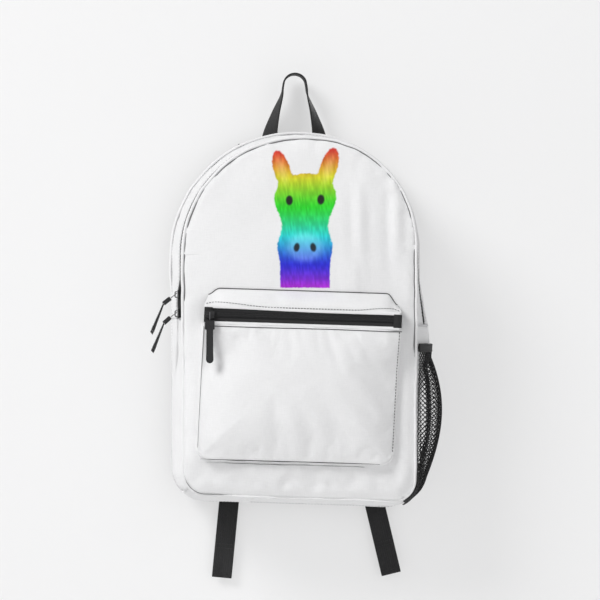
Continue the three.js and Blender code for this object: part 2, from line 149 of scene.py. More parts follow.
def on_seam(along, out):
    """x and z of points at distances along the front seam, moved out from it."""
    d = np.mod(along, SEAM_LENGTH)
    mirrored = d > SEAM_LENGTH / 2
    d = np.where(mirrored, SEAM_LENGTH - d, d)
    corner = (d - FLAT) / CORNER - math.pi / 2
    dome = (d - DOME_START) / HALF
    where = [d >= DOME_START, d >= SIDE_START, d >= FLAT]
    x = np.select(where, [HALF * np.cos(dome), HALF, FLAT + CORNER * np.cos(corner)], d)
    z = np.select(where, [DOME_Z + HALF * np.sin(dome), CORNER_Z + d - SIDE_START,
                          CORNER_Z + CORNER * np.sin(corner)], BOTTOM)
    nx = np.select(where, [np.cos(dome), 1, np.cos(corner)], 0)
    nz = np.select(where, [np.sin(dome), 0, np.sin(corner)], -1)
    x, z = x + nx * out, z + nz * out
    return np.where(mirrored, -x, x), z


def bulge(along):
    """How far the wall swells at the middle of its depth: most beside the right end of the zip."""
    x, z = on_seam(along, 0)
    right = 12.5 * MM * np.exp(-(((z + 0.3) / 0.05) ** 2)) + 2 * MM
    left = 3 * MM * smooth(-0.3, -0.36, z)
    return np.where(x > 0.05, right * smooth(0.05, 0.12, x), np.where(x < -0.05, left, 0.0))


def turned_out(along, y):
    """The wall's twist at the left end of the zip, where the tape turns its face to the front."""
    x, z = on_seam(along, 0)
    near = smooth(-0.222, -0.258, z) * smooth(-0.335, -0.29, z) * (x < -0.05)
    depths = [FRONT_Y, ZIP_FRONT_Y, ZIP_REAR_Y, ZIP_REAR_Y + 14 * MM, REAR_Y]
    return near * np.interp(y, depths, [0, -3 * MM, 3.4 * MM, 0.6 * MM, 0])


def wall(along, y, out):
    """A point of the body's side wall, from its distance along the seam and its depth."""
    share = (y - FRONT_Y) / (REAR_Y - FRONT_Y)
    swell = bulge(along) * np.sin(math.pi * np.clip(share, 0, 1)) + turned_out(along, y)
    x, z = on_seam(along, out + FLARE * share + swell)
    return soften(np.stack(np.broadcast_arrays(x, y, z), -1))


def soften(points):
    """The hanging bag's sag: its lower half settles to the right, its right shoulder is full, and its
    front is crowned."""
    x, y, z = points[..., 0], points[..., 1], points[..., 2]
    settled = z - 0.036 * x * smooth(-0.235, -0.3, z)
    forward = np.clip((REAR_Y - y) / (REAR_Y - FRONT_Y), 0, 1)
    radius = np.hypot(x, z - DOME_Z)
    turn = np.arctan2(z - DOME_Z, x)
    full = np.sin(np.clip((turn - 0.02) / 1.6, 0, 1) * math.pi) ** 1.3 * smooth(0.03, HALF, radius)
    push = (3.2 + 2.2 * forward) * MM * full
    across = np.clip(1 - (x / HALF) ** 2, 0, 1)
    height = np.clip((z - BOTTOM) / (panel_high.z - BOTTOM), 0, 1)
    crown = 8 * MM * forward**3 * across * np.sin(math.pi * height) ** 0.7
    under = 7 * MM * forward * smooth(-0.425, -0.476, z)
    return np.stack([x + np.cos(turn) * push, y - crown + under, settled + np.sin(turn) * push], -1)


def inset(x, z):
    """How far a point of the front lies inside the seam."""
    dome = HALF - np.hypot(x, z - DOME_Z)
    corner = CORNER - np.hypot(np.abs(x) - FLAT, z - CORNER_Z)
    plain = np.minimum(HALF - np.abs(x), z - BOTTOM)
    in_corner = (np.abs(x) > FLAT) & (z < CORNER_Z)
    return np.where(z > DOME_Z, dome, np.where(in_corner, corner, plain))


def onto_seam(x, z, grow=0.0):
    """Moves points that lie outside the seam, grown by some amount, onto it."""
    half, corner = HALF + grow, CORNER + grow
    r = np.maximum(np.hypot(x, z - DOME_Z), 1e-9)
    keep = np.minimum(half / r, 1)
    dome = (x * keep, DOME_Z + (z - DOME_Z) * keep)
    cx = np.abs(x) - FLAT
    r = np.maximum(np.hypot(cx, z - CORNER_Z), 1e-9)
    keep = np.minimum(corner / r, 1)
    rounded = (np.sign(x) * (FLAT + cx * keep), CORNER_Z + (z - CORNER_Z) * keep)
    plain = (np.clip(x, -half, half), np.maximum(z, BOTTOM - grow))
    on_dome, in_corner = z > DOME_Z, (np.abs(x) > FLAT) & (z < CORNER_Z)
    pick = lambda k: np.where(on_dome, dome[k], np.where(in_corner, rounded[k], plain[k]))
    return pick(0), pick(1)


def pocket_point(x, y, z):
    """A point of the front pocket, from its own tilted frame, with the zip's line at height 0."""
    x = x + 0.02 * z
    c, s = math.cos(POCKET_TILT), math.sin(POCKET_TILT)
    return np.stack(np.broadcast_arrays(POCKET_X + x * c + z * s, y, POCKET_Z - x * s + z * c), -1)


# ---------------------------------------------------------------- mesh making

def mesh_object(name, points, faces, uv=None):
    mesh = bpy.data.meshes.new(name)
    mesh.from_pydata(np.asarray(points).reshape(-1, 3).tolist(), [], [list(f) for f in faces])
    mesh.update()
    mesh.polygons.foreach_set("use_smooth", [True] * len(mesh.polygons))
    if uv is not None:
        corners = np.zeros(len(mesh.loops), np.int32)
        mesh.loops.foreach_get("vertex_index", corners)
        layer = mesh.uv_layers.new(name="cloth")
        layer.data.foreach_set("uv", np.asarray(uv, np.float32).reshape(-1, 2)[corners].ravel())
    obj = bpy.data.objects.new(name, mesh)
    bpy.context.scene.collection.objects.link(obj)
    return obj


def grid_faces(rows, columns, wrap_rows=False, wrap_columns=False):
    i, j = np.meshgrid(np.arange(rows if wrap_rows else rows - 1),
                       np.arange(columns if wrap_columns else columns - 1), indexing="ij")
    i2, j2 = (i + 1) % rows, (j + 1) % columns
    corners = [i * columns + j, i2 * columns + j, i2 * columns + j2, i * columns + j2]
    return np.stack(corners, -1).reshape(-1, 4)


def tube_faces(rows, columns):
    """A grid that closes round its columns, with a face at each end."""
    faces = [tuple(f) for f in grid_faces(rows, columns, False, True)]
    return faces + [tuple(range(columns))[::-1], tuple(range((rows - 1) * columns, rows * columns))]


def ring_faces(base, rings, sides, count):
    """The faces of many short tubes at once, each a stack of rings with both ends closed."""
    ring = lambda k, a: base + (k * sides + a % sides) * count + np.arange(count)
    faces = []
    for k in range(rings - 1):
        for a in range(sides):
            quad = [ring(k, a), ring(k, a + 1), ring(k + 1, a + 1), ring(k + 1, a)]
            faces += np.stack(quad, 1).tolist()
    faces += np.stack([ring(0, a) for a in range(sides)][::-1], 1).tolist()
    faces += np.stack([ring(rings - 1, a) for a in range(sides)], 1).tolist()
    return faces


def only_used(points, faces):
    """Drops the points that no face uses, and says which ones stay."""
    used = np.unique(faces)
    renumber = np.zeros(len(points), int)
    renumber[used] = np.arange(len(used))
    return points[used], renumber[faces], used


def thicken(obj, thickness, offset=-1):
    solid = obj.modifiers.new("thickness", "SOLIDIFY")
    solid.thickness, solid.offset = thickness, offset


def refine(obj):
    rounder = obj.modifiers.new("fine", "SUBSURF")
    rounder.levels = rounder.render_levels = 1


def round_edges(obj, width, segments, sharpest):
    """Rounds the edges that turn by more than an angle in degrees."""
    bevel = obj.modifiers.new("edges", "BEVEL")
    bevel.width, bevel.segments, bevel.limit_method = width, segments, "ANGLE"
    bevel.angle_limit = math.radians(sharpest)


def cloth_lengths(grid):
    """Each point's distance along and across a grid of cloth, for the weave to follow."""
    rows, columns = grid.shape[:2]
    step_u = np.linalg.norm(np.diff(grid[:, columns // 2], axis=0), axis=1)
    step_v = np.linalg.norm(np.diff(grid[rows // 2], axis=0), axis=1)
    u = np.concatenate([[0], np.cumsum(step_u)])
    v = np.concatenate([[0], np.cumsum(step_v)])
    return np.stack(np.meshgrid(u, v, indexing="ij"), -1)


def surface(name, grid, thickness=1.2 * MM, middle=BAG_MIDDLE):
    """A sheet of cloth over a grid of points. Its face looks away from the middle of the bag."""
    faces = grid_faces(*grid.shape[:2])
    a, b, c = (grid.reshape(-1, 3)[faces[:, k]] for k in (0, 1, 2))
    facing = np.einsum("ij,ij->i", np.cross(b - a, c - a), a - np.array(middle)).sum()
    if facing < 0:
        faces = faces[:, ::-1]
    obj = mesh_object(name, grid, faces, cloth_lengths(grid))
    if thickness:
        thicken(obj, thickness)
    return obj


def round_section(radius, sides=10):
    turn = np.linspace(0, 2 * math.pi, sides, endpoint=False)
    return np.stack([radius * np.cos(turn), radius * np.sin(turn)], 1)


def flat_section(width, thickness, across=10):
    """A webbing's section: flat faces with full round edges."""
    half, r = width / 2 - thickness / 2, thickness / 2
    flat = np.linspace(-half, half, across)
    arc = np.linspace(-math.pi / 2, math.pi / 2, 5)[1:-1]
    top = np.stack([flat[::-1], np.full(across, r)], 1)
    left = np.stack([-half - r * np.cos(arc), -r * np.sin(arc)], 1)
    low = np.stack([flat, np.full(across, -r)], 1)
    right = np.stack([half + r * np.cos(arc), r * np.sin(arc)], 1)
    return np.vstack([top, left, low, right])


def directions(path, through, closed=False):
    """Unit vectors across and through a path, the second as near to a given one as it can be."""
    if closed:
        along = np.roll(path, -1, axis=0) - np.roll(path, 1, axis=0)
    else:
        along = np.gradient(path, axis=0)
    along = unit(along)
    through = np.broadcast_to(np.asarray(through, float), path.shape)
    across = unit(np.cross(along, through))
    return across, np.cross(across, along)


def sweep(name, path, section, through=(0, 1, 0), closed=False, scale=None, frames=None):
    """A solid swept along a path. The section's second axis lies along the through direction."""
    across, through = frames or directions(path, through, closed)
    scale = np.ones(len(path)) if scale is None else np.asarray(scale)
    sec = np.asarray(section)
    size = scale[:, None, None]
    grid = (path[:, None] + across[:, None] * (sec[None, :, :1] * size)
            + through[:, None] * (sec[None, :, 1:] * size))
    rows, columns = grid.shape[:2]
    faces = grid_faces(rows, columns, True, True) if closed else tube_faces(rows, columns)
    step = np.linalg.norm(np.diff(path, axis=0), axis=1)
    run = np.concatenate([[0], np.cumsum(step)])
    uv = np.stack(np.broadcast_arrays(run[:, None], sec[None, :, 0]), -1)
    obj = mesh_object(name, grid, faces, uv)
    make_outward(obj)
    return obj


def make_outward(obj):
    """Turns a closed mesh's faces outwards."""
    b = bmesh.new()
    b.from_mesh(obj.data)
    bmesh.ops.recalc_face_normals(b, faces=b.faces)
    b.to_mesh(obj.data)
    b.free()


def stitches(name, paths, out, length=2.6 * MM, gap=1.0 * MM, radius=0.32 * MM):
    """Rows of short raised threads along paths. out is the way that the cloth faces, or a list of
    them, one for each path."""
    outs = out if isinstance(out, list) else [out] * len(paths)
    sides, fine_steps = 5, 6
    rings = ((0, 0.45, -0.5), (0.25, 1, 0.4), (0.75, 1, 0.4), (1, 0.45, -0.5))
    points, faces = [], []
    for path, facing in zip(paths, outs):
        path = np.asarray(path)
        total = np.linalg.norm(np.diff(path, axis=0), axis=1).sum()
        count = max(int(total / (length + gap)), 1)
        fine = resampled(path, count * fine_steps + 1)
        facing = np.asarray(facing, float)
        if facing.ndim == 2:
            facing = resampled(facing, count * fine_steps + 1)[: count * fine_steps: fine_steps]
        start, end = fine[0:-1:fine_steps][:count], fine[4::fine_steps][:count]
        along = unit(end - start)
        side = unit(np.cross(along, np.broadcast_to(facing, along.shape)))
        up = np.cross(side, along)
        faces += ring_faces(sum(len(p) for p in points), len(rings), sides, count)
        for share, size, rise in rings:
            centre = start + (end - start) * share + up * radius * rise
            for a in range(sides):
                turn = 2 * math.pi * a / sides
                points.append(centre + (side * math.cos(turn) + up * math.sin(turn)) * radius * size)
    obj = mesh_object(name, np.vstack(points), faces)
    make_outward(obj)
    return obj


def zip_teeth(name, centre, across, out, pitch=1.5 * MM, reach=2.7 * MM, height=1.1 * MM):
    """Two rows of interlocked coils: a rounded loop for each tooth, the rows half a pitch apart."""
    total = np.linalg.norm(np.diff(centre, axis=0), axis=1).sum()
    count = int(total / pitch)
    rings = ((-0.35, 0.2, 0.30), (0.2, 0.85, 0.34), (0.75, 0.75, 0.34), (1, 0.1, 0.3))
    corners = ((-1, -1), (1, -1), (1, 1), (-1, 1))
    points, faces = [], []
    for side, shift in ((-1, 0), (1, 0.5)):
        share = (np.arange(count) + 0.25 + shift) / (count + 1)
        where = share * (len(centre) - 1)
        low = np.floor(where).astype(int)
        part = (where - low)[:, None]
        at = lambda field: field[low] * (1 - part) + field[np.minimum(low + 1, len(field) - 1)] * part
        c, a, o = at(centre), unit(at(across)), unit(at(out))
        along = unit(np.cross(a, o))
        faces += ring_faces(sum(len(p) for p in points), len(rings), len(corners), count)
        for distance, rise, wide in rings:
            for da, do in corners:
                points.append(c + a * side * reach * distance + o * height * (rise + 0.42 * do)
                              + along * da * wide * pitch)
    obj = mesh_object(name, np.vstack(points), faces)
    make_outward(obj)
    return obj


def billow(obj, pinned, pressure, slack, frames=20, cap=8 * MM, stiff=8):
    """Air behind pinned cloth, by cloth simulation. The result is written back to the mesh."""
    before = np.array([v.co for v in obj.data.vertices])
    group = obj.vertex_groups.new(name="sewn")
    group.add([int(i) for i in pinned], 1, "REPLACE")
    cloth = obj.modifiers.new("cloth", "CLOTH")
    cloth.settings.quality = 5
    cloth.settings.mass = 0.15
    cloth.settings.tension_stiffness = stiff
    cloth.settings.compression_stiffness = stiff
    cloth.settings.shear_stiffness = stiff / 2
    cloth.settings.bending_stiffness = 0.4
    cloth.settings.vertex_group_mass = group.name
    cloth.settings.use_pressure = True
    cloth.settings.uniform_pressure_force = pressure
    cloth.settings.shrink_min = -slack
    cloth.settings.effector_weights.gravity = 0
    cloth.collision_settings.use_collision = False
    cloth.point_cache.frame_end = frames
    scene = bpy.context.scene
    for step in range(1, frames + 1):
        scene.frame_set(step)
    cloth_mesh = obj.evaluated_get(bpy.context.evaluated_depsgraph_get()).to_mesh()
    moved = np.array([v.co for v in cloth_mesh.vertices]) - before
    far = np.maximum(np.linalg.norm(moved, axis=1, keepdims=True), 1e-12)
    moved *= np.minimum(cap / far, 1)
    obj.modifiers.remove(cloth)
    obj.vertex_groups.remove(group)
    obj.data.vertices.foreach_set("co", (before + moved).astype(np.float32).ravel())
    obj.data.update()
    scene.frame_set(1)


# ---------------------------------------------------------------- materials

class Shader:
    """A short way to write node materials."""

    def __init__(self, name, colour, roughness, **sockets):
        self.material = bpy.data.materials.new(name)
        self.material.use_nodes = True
        self.tree = self.material.node_tree
        self.base = self.tree.nodes["Principled BSDF"]
        self.base.inputs["Base Color"].default_value = (*colour, 1)
        self.base.inputs["Roughness"].default_value = roughness
        for socket, value in sockets.items():
            self.base.inputs[socket.replace("_", " ")].default_value = value

    def node(self, kind, **values):
        made = self.tree.nodes.new("ShaderNode" + kind)
        for name, value in values.items():
            setattr(made, name, value)
        return made

    def link(self, source, target):
        self.tree.links.new(source, target)

    def maths(self, operation, a, b=0.0):
        made = self.node("Math", operation=operation)
        for socket, value in zip(made.inputs, (a, b)):
            if isinstance(value, (int, float)):
                socket.default_value = value
            else:
                self.link(value, socket)
        return made.outputs[0]

    def position(self):
        return self.node("TexCoord").outputs["Object"]

    def cloth_uv(self):
        made = self.node("UVMap", uv_map="cloth")
        split = self.node("SeparateXYZ")
        self.link(made.outputs[0], split.inputs[0])
        return split.outputs[0], split.outputs[1]

    def wave(self, value, pitch, shift=0.0):
        """A sine along a length, from -1 to 1, one turn for each pitch."""
        turned = self.maths("MULTIPLY_ADD", value, 2 * math.pi / pitch)
        turned.node.inputs[2].default_value = shift
        return self.maths("SINE", turned)

    def texture(self, scale, detail=3.0, roughness=0.55, where=None):
        made = self.node("TexNoise")
        made.inputs["Scale"].default_value = scale
        made.inputs["Detail"].default_value = detail
        made.inputs["Roughness"].default_value = roughness
        self.link(where or self.position(), made.inputs["Vector"])
        return made.outputs["Fac"]

    def mix(self, share, first, second):
        made = self.node("Mix", data_type="RGBA")
        for socket, value in zip((made.inputs[0], made.inputs[6], made.inputs[7]), (share, first, second)):
            if isinstance(value, tuple):
                socket.default_value = (*value, 1)
            elif isinstance(value, (int, float)):
                socket.default_value = value
            else:
                self.link(value, socket)
        return made.outputs[2]

    def colour(self, source):
        self.link(source, self.base.inputs["Base Color"])

    def bump(self, height, distance, strength=1.0):
        made = self.node("Bump")
        made.inputs["Strength"].default_value = strength
        made.inputs["Distance"].default_value = distance
        self.link(height, made.inputs["Height"])
        previous = self.base.inputs["Normal"]
        if previous.is_linked:
            self.link(previous.links[0].from_socket, made.inputs["Normal"])
        self.link(made.outputs[0], previous)

    def slub(self, stretch):
        """Thicker threads here and there, running one way of the cloth."""
        u, v = self.cloth_uv()
        place = self.node("CombineXYZ")
        for source, factor, socket in zip((u, v), stretch, place.inputs):
            self.link(self.maths("MULTIPLY", source, factor), socket)
        return self.maths("SUBTRACT", self.texture(900, 1, where=place.outputs[0]), 0.35)

    def plain_weave(self, pitch):
        """Over and under threads, both ways of the cloth."""
        u, v = self.cloth_uv()
        over = self.wave(u, pitch)
        under = self.wave(v, pitch)
        return self.maths("MULTIPLY", over, under)


def white_canvas(name="white_canvas", printed=False):
    cloth = Shader(name, (0.83, 0.83, 0.835), 0.88, Sheen_Weight=0.15, Sheen_Roughness=0.6)
    weave = cloth.plain_weave(0.9 * MM)
    soft = cloth.texture(26, 4)
    thread = cloth.texture(700, 2)
    tint = cloth.mix(soft, (0.86, 0.86, 0.862), (0.92, 0.92, 0.921))
    tint = cloth.mix(cloth.maths("MULTIPLY_ADD", weave, 0.05), tint, (0.78, 0.78, 0.785))
    slubs = cloth.maths("ADD", cloth.slub((0.12, 1.0)), cloth.slub((1.0, 0.12)))
    tint = cloth.mix(cloth.maths("MULTIPLY", slubs, 0.32), tint, (0.66, 0.66, 0.663))
    if printed:
        ink = cloth.node("Attribute", attribute_name="ink")
        tint = cloth.mix(ink.outputs["Alpha"], tint, ink.outputs["Color"])
    cloth.colour(tint)
    cloth.bump(soft, 1.6 * MM, 0.5)
    cloth.bump(thread, 0.25 * MM, 0.35)
    cloth.bump(weave, 0.09 * MM, 0.6)
    return cloth.material


def woven_tape(name, colour, light, rib, cross=0.0, roughness=0.7, depth=0.22):
    """Ribs across a tape's length, broken by a slant that makes its weave's chevrons."""
    tape = Shader(name, colour, roughness, Sheen_Weight=0.06, Sheen_Roughness=0.45)
    u, v = tape.cloth_uv()
    fold = tape.maths("ABSOLUTE", tape.maths("MULTIPLY", v, cross))
    ribs = tape.wave(tape.maths("ADD", u, fold), rib)
    lines = tape.wave(v, rib * 1.6)
    woven = tape.maths("ADD", ribs, tape.maths("MULTIPLY", lines, 0.4))
    worn = tape.texture(45, 4)
    shade = tape.maths("MULTIPLY_ADD", woven, 0.16)
    shade.node.inputs[2].default_value = 0.3
    shade = tape.maths("MULTIPLY", shade, tape.maths("ADD", worn, 0.5))
    tape.colour(tape.mix(shade, colour, light))
    tape.bump(woven, depth * MM, 0.8)
    tape.bump(tape.texture(900, 2), 0.1 * MM, 0.3)
    return tape.material


def hard_finish(name, colour, light, roughness, grain, depth, **sockets):
    """Moulded plastic, rubber or enamel: a fine grain, and a little wear in its colour."""
    skin = Shader(name, colour, roughness, **sockets)
    fine = skin.texture(grain, 3)
    worn = skin.texture(grain / 12, 5, 0.65)
    skin.colour(skin.mix(worn, colour, light))
    rough = skin.maths("MULTIPLY_ADD", worn, 0.25)
    rough.node.inputs[2].default_value = roughness - 0.12
    skin.link(rough, skin.base.inputs["Roughness"])
    skin.bump(fine, depth * MM, 0.5)
    return skin.material


def spacer_cloth(name, colour, light, cell):
    """A thick knitted cloth with round cells, as pads and backs are faced with. Its sunk cells are painted
    darker: painted shade in the recesses.
    """
    cloth = Shader(name, colour, 0.85, Sheen_Weight=0.35, Sheen_Roughness=0.4)
    u, v = cloth.cloth_uv()
    dots = cloth.maths("MULTIPLY", cloth.wave(u, cell), cloth.wave(v, cell))
    sunk = cloth.maths("POWER", cloth.maths("ABSOLUTE", dots), 1.5)
    # painted shade: the sunk cells take the darker colour, the raised knit the lighter one
    cloth.colour(cloth.mix(sunk, light, colour))
    cloth.bump(sunk, -0.5 * MM, 0.9)
    cloth.bump(cloth.texture(60, 4), 0.8 * MM, 0.4)
    return cloth.material


def thread(name, colour):
    yarn = Shader(name, colour, 0.7, Sheen_Weight=0.06, Sheen_Roughness=0.4)
    twist = yarn.texture(1500, 2)
    yarn.colour(yarn.mix(twist, tuple(c * 0.8 for c in colour), colour))
    yarn.bump(twist, 0.1 * MM, 0.5)
    return yarn.material


def plain_foam(name, colour, light):
    foam = Shader(name, colour, 0.95)
    cells = foam.texture(800, 2)
    foam.colour(foam.mix(cells, colour, light))
    foam.bump(cells, 0.3 * MM, 0.6)
    return foam.material


MATERIALS = {
    "white_canvas": white_canvas(),
    "printed_canvas": white_canvas("printed_canvas", True),
    "black_canvas": spacer_cloth("black_spacer_cloth", (0.008, 0.008, 0.009), (0.022, 0.022, 0.023),
                                 3.2 * MM),
    "foam": plain_foam("foam", (0.05, 0.05, 0.055), (0.08, 0.08, 0.085)),
    "lining": woven_tape("lining", (0.3, 0.31, 0.33), (0.4, 0.41, 0.43), 0.8 * MM, depth=0.05),
    "webbing": woven_tape("webbing", (0.006, 0.006, 0.0065), (0.018, 0.018, 0.019), 1.5 * MM, 0.45),
    "zip_tape": woven_tape("zip_tape", (0.006, 0.006, 0.0065), (0.018, 0.018, 0.019), 1.1 * MM, 1.0,
                           depth=0.15),
    "zip_coil": hard_finish("zip_coil", (0.004, 0.004, 0.005), (0.010, 0.010, 0.011), 0.55, 900, 0.04),
    "zip_slider": hard_finish("zip_slider", (0.01, 0.01, 0.011), (0.025, 0.025, 0.026), 0.36, 700, 0.03,
                              Coat_Weight=0.3),
    "pull_rubber": hard_finish("pull_rubber", (0.006, 0.006, 0.0065), (0.015, 0.015, 0.016), 0.62, 1200,
                               0.06),
    "link_metal": hard_finish("link_metal", (0.12, 0.12, 0.125), (0.22, 0.22, 0.23), 0.38, 700, 0.03,
                              Metallic=0.7),
    "mesh": thread("mesh_yarn", (0.008, 0.008, 0.009)),
    "buckle_plastic": hard_finish("buckle_plastic", (0.012, 0.012, 0.013), (0.028, 0.028, 0.03), 0.42,
                                  1100, 0.05),
    "white_thread": thread("white_thread", (0.7, 0.7, 0.71)),
    # grey thread for seams, and also the colour of the painted seam shade along the front
    "grey_thread_and_seam_shade": thread("grey_thread_and_seam_shade", (0.16, 0.16, 0.165)),
    # dark thread for seams and stitches, and also the colour of the painted shadow in the gap under the front
    # pocket
    "dark_thread_and_gap_shadow": thread("dark_thread_and_gap_shadow", (0.06, 0.06, 0.062)),
    "black_thread": thread("black_thread", (0.03, 0.03, 0.032)),
}


def add(obj, look, body, *replaced):
    """Gives a piece its material, its body and the CAD nodes that it stands for."""
    obj.data.materials.clear()
    obj.data.materials.append(MATERIALS[look])
    if body and "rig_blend" not in obj:
        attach(obj, body)
    if replaced:
        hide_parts(*replaced)
    return obj


# ---------------------------------------------------------------- the print

PRINT_X, PRINT_Z = 5.5 * MM, -168 * MM
PRINT_REACH = 75  # millimetres from the print's middle to its top and its foot
LAST_HUE = 0.8  # the rainbow runs from red at the top to violet at the foot


def ellipse(x, z, cx, cz, rx, rz, turn=0.0):
    """Rough signed distance to an ellipse, negative inside, in the print's millimetres."""
    c, s = math.cos(math.radians(turn)), math.sin(math.radians(turn))
    px, pz = x - cx, z - cz
    u, v = (px * c + pz * s) / rx, (-px * s + pz * c) / rz
    return (np.hypot(u, v) - 1) * min(rx, rz)


def joined(a, b, soft=6.0):
    h = np.clip(0.5 + 0.5 * (b - a) / soft, 0, 1)
    return b * (1 - h) + a * h - soft * h * (1 - h)


def rainbow(hue, richness, value):
    """Linear colour from hue, saturation and value."""
    k = np.stack([(5 + hue * 6) % 6, (3 + hue * 6) % 6, (1 + hue * 6) % 6], -1)
    low = np.clip(np.minimum(k, 4 - k), 0, 1)
    return (value[..., None] * (1 - richness[..., None] * low)) ** 2.2


def donkey_ink(x, z):
    """Red, green, blue and coverage of a plain, stylised donkey's head in an even rainbow."""
    x, z = (x - PRINT_X) / MM, (z - PRINT_Z) / MM
    side = np.abs(x)
    brow = ellipse(side, z, 0, 22, 33, 27)
    muzzle = ellipse(side, z, 0, -30, 29, 25)
    ear = ellipse(side, z, 25, 53, 9, 22, -16)
    neck = np.maximum(side - 27, np.maximum(z + 30, -PRINT_REACH - z))
    shape = joined(joined(joined(brow, muzzle, 30), ear, 5), neck, 7)
    cover = smooth(0.7, -0.5, shape + 0.4 * noise(x * 1.5, z * 1.5, 2.6, 15))

    hair = noise(x + 0.12 * z, z * 0.28, 1.5, 5)
    hue = LAST_HUE * (PRINT_REACH - z) / (2 * PRINT_REACH)
    value = 0.80 + 0.07 * hair
    richness = 0.84 - 0.03 * hair

    def spot(cx, cz, rx, rz, turn=0.0, soft=1.0):
        return smooth(soft, -soft, ellipse(side, z, cx, cz, rx, rz, turn))

    pale = np.maximum(0.45 * spot(0, -31, 20, 16, soft=5), 0.4 * spot(25, 53, 4.5, 15, -16, soft=3))
    value = value + (1 - value) * pale
    richness = richness * (1 - 0.6 * pale)
    value = value * (1 - 0.9 * spot(17, 20, 3.6, 5.0)) * (1 - 0.8 * spot(9, -31, 3.0, 4.6, 12))
    colour = rainbow(np.clip(hue, 0, 1), np.clip(richness, 0, 1), np.clip(value, 0.03, 1))
    return np.concatenate([colour, cover[..., None]], -1)


# ---------------------------------------------------------------- the body

def panel_axis(low, high, fine_low, fine_high, coarse=3 * MM, fine=0.6 * MM):
    parts = [np.arange(low, fine_low, coarse), np.arange(fine_low, fine_high, fine),
             np.arange(fine_high, high + coarse / 2, coarse), [high]]
    return np.unique(np.round(np.concatenate(parts), 7))


def front_relief(x, z):
    """The front cloth's small rises and falls: a seam groove, puckers and soft hanging folds."""
    edge = inset(x, z)
    turn = np.arctan2(z - DOME_Z, x)
    piped = smooth(-0.33, -0.28, z)
    groove = 1.1 * MM * smooth(5 * MM, 0, edge) * piped
    rounded = 2.6 * MM * (1 - piped) * smooth(13 * MM, 0, edge) ** 1.5
    pucker = 0.6 * MM * noise(turn * HALF, z * 0, 9 * MM, 11) * smooth(26 * MM, 2 * MM, edge)
    right = smooth(0.03, 0.075, x) * smooth(-0.3, -0.2, z) * smooth(-0.1, -0.14, z)
    folds = 2.2 * MM * right * noise(x + 0.08 * z, z * 0.12, 10 * MM, 12)
    broad = 1.8 * MM * noise(x, z, 42 * MM, 13) * smooth(0, 25 * MM, edge)
    low = 1.6 * MM * noise(x + z, z - x, 17 * MM, 14) * smooth(-0.40, -0.44, z) * smooth(0, 14 * MM, edge)
    return groove + rounded - pucker - folds - broad - low


def panel_face(points, lift=0.0):
    """Puts points against the front panel's cloth, keeping their places across it."""
    flat = np.stack([points[..., 0], FRONT_Y - 1.4 * MM + front_relief(points[..., 0], points[..., 2]),
                     points[..., 2]], -1)
    placed = np.array(points)
    placed[..., 1] = soften(flat)[..., 1] - lift
    return placed


def add_front_panel():
    xs = panel_axis(-HALF, HALF, PRINT_X - 60 * MM, PRINT_X + 60 * MM)
    zs = panel_axis(BOTTOM, panel_high.z, PRINT_Z - 80 * MM, PRINT_Z + 80 * MM)
    gx, gz = np.meshgrid(xs, zs, indexing="ij")
    outside = (inset(gx, gz) < -1e-6).ravel()
    x, z = onto_seam(gx, gz)
    y = FRONT_Y - 1.4 * MM + front_relief(x, z)
    points = soften(np.stack([x, y, z], -1)).reshape(-1, 3)
    faces = grid_faces(len(xs), len(zs))
    points, faces, used = only_used(points, faces[~outside[faces].all(axis=1)])
    panel = mesh_object("front_panel_cloth", points, faces, np.stack([x, z], -1).reshape(-1, 2)[used])
    ink = panel.data.color_attributes.new("ink", "FLOAT_COLOR", "POINT")
    colours = donkey_ink(x.ravel()[used], z.ravel()[used])
    ink.data.foreach_set("color", colours.astype(np.float32).ravel())
    thicken(panel, 1 * MM, 1)
    add(panel, "printed_canvas", "bag", "front_panel")


def wall_grid(start, end, y0, y1, out=0.0, rows=None, columns=14, ripple=0.5 * MM, seed=21):
    rows = rows or max(int((end - start) / (2.6 * MM)), 4)
    along, y = np.meshgrid(np.linspace(start, end, rows), np.linspace(y0, y1, columns), indexing="ij")
    share = (y - y0) / (y1 - y0)
    free = np.sin(math.pi * share) ** 0.6
    edge = np.exp(-share * 9) + np.exp(-(1 - share) * 9)
    waves = ripple * (noise(along, y, 24 * MM, seed) * free * 1.6
                      + noise(along, y * 0.4, 6.5 * MM, seed + 1) * edge * 0.9)
    return wall(along, y, out + waves)


def wall_row(along, y, out):
    """A row along the wall, and the way that the cloth faces at each of its points."""
    y = np.full(len(along), y)
    row = wall(along, y, out)
    return row, unit(wall(along, y, 3 * MM) - row)


def seam_wobble(along):
    """How far a sewn line strays, in metres."""
    return 0.4 * MM * noise(along, along * 0, 11 * MM, 31)


def add_shell():
    """The cloth round the body, in the pieces that it was cut in."""
    front, right, left = FRONT_Y + 0.2 * MM, ZIP_START, SEAM_LENGTH - ZIP_START
    top_front = surface("top_gusset_front_cloth", wall_grid(right, left, front, ZIP_FRONT_Y, columns=9))
    add(top_front, "white_canvas", "bag", "top_gusset_front")
    top_rear = surface("top_gusset_rear_cloth",
                       wall_grid(right, left, ZIP_REAR_Y, REAR_Y, ripple=0.8 * MM, columns=20, seed=23))
    add(top_rear, "white_canvas", "bag", "top_gusset_rear")
    spans = {"right": (CORNER_MIDDLE, ZIP_START - 0.4 * MM)}
    spans["left"] = (SEAM_LENGTH - spans["right"][1], SEAM_LENGTH - spans["right"][0])
    for side, (start, end) in spans.items():
        cloth = wall_grid(start, end, front, REAR_Y, columns=28, ripple=0.9 * MM, seed=25)
        add(surface(f"side_{side}_cloth", cloth), "white_canvas", "bag", f"side_panel_{side}")
    low = wall_grid(-CORNER_MIDDLE, CORNER_MIDDLE, front, REAR_Y, columns=28, ripple=0.7 * MM, seed=27)
    add(surface("bottom_cloth", low), "white_canvas", "bag", "bottom_panel")


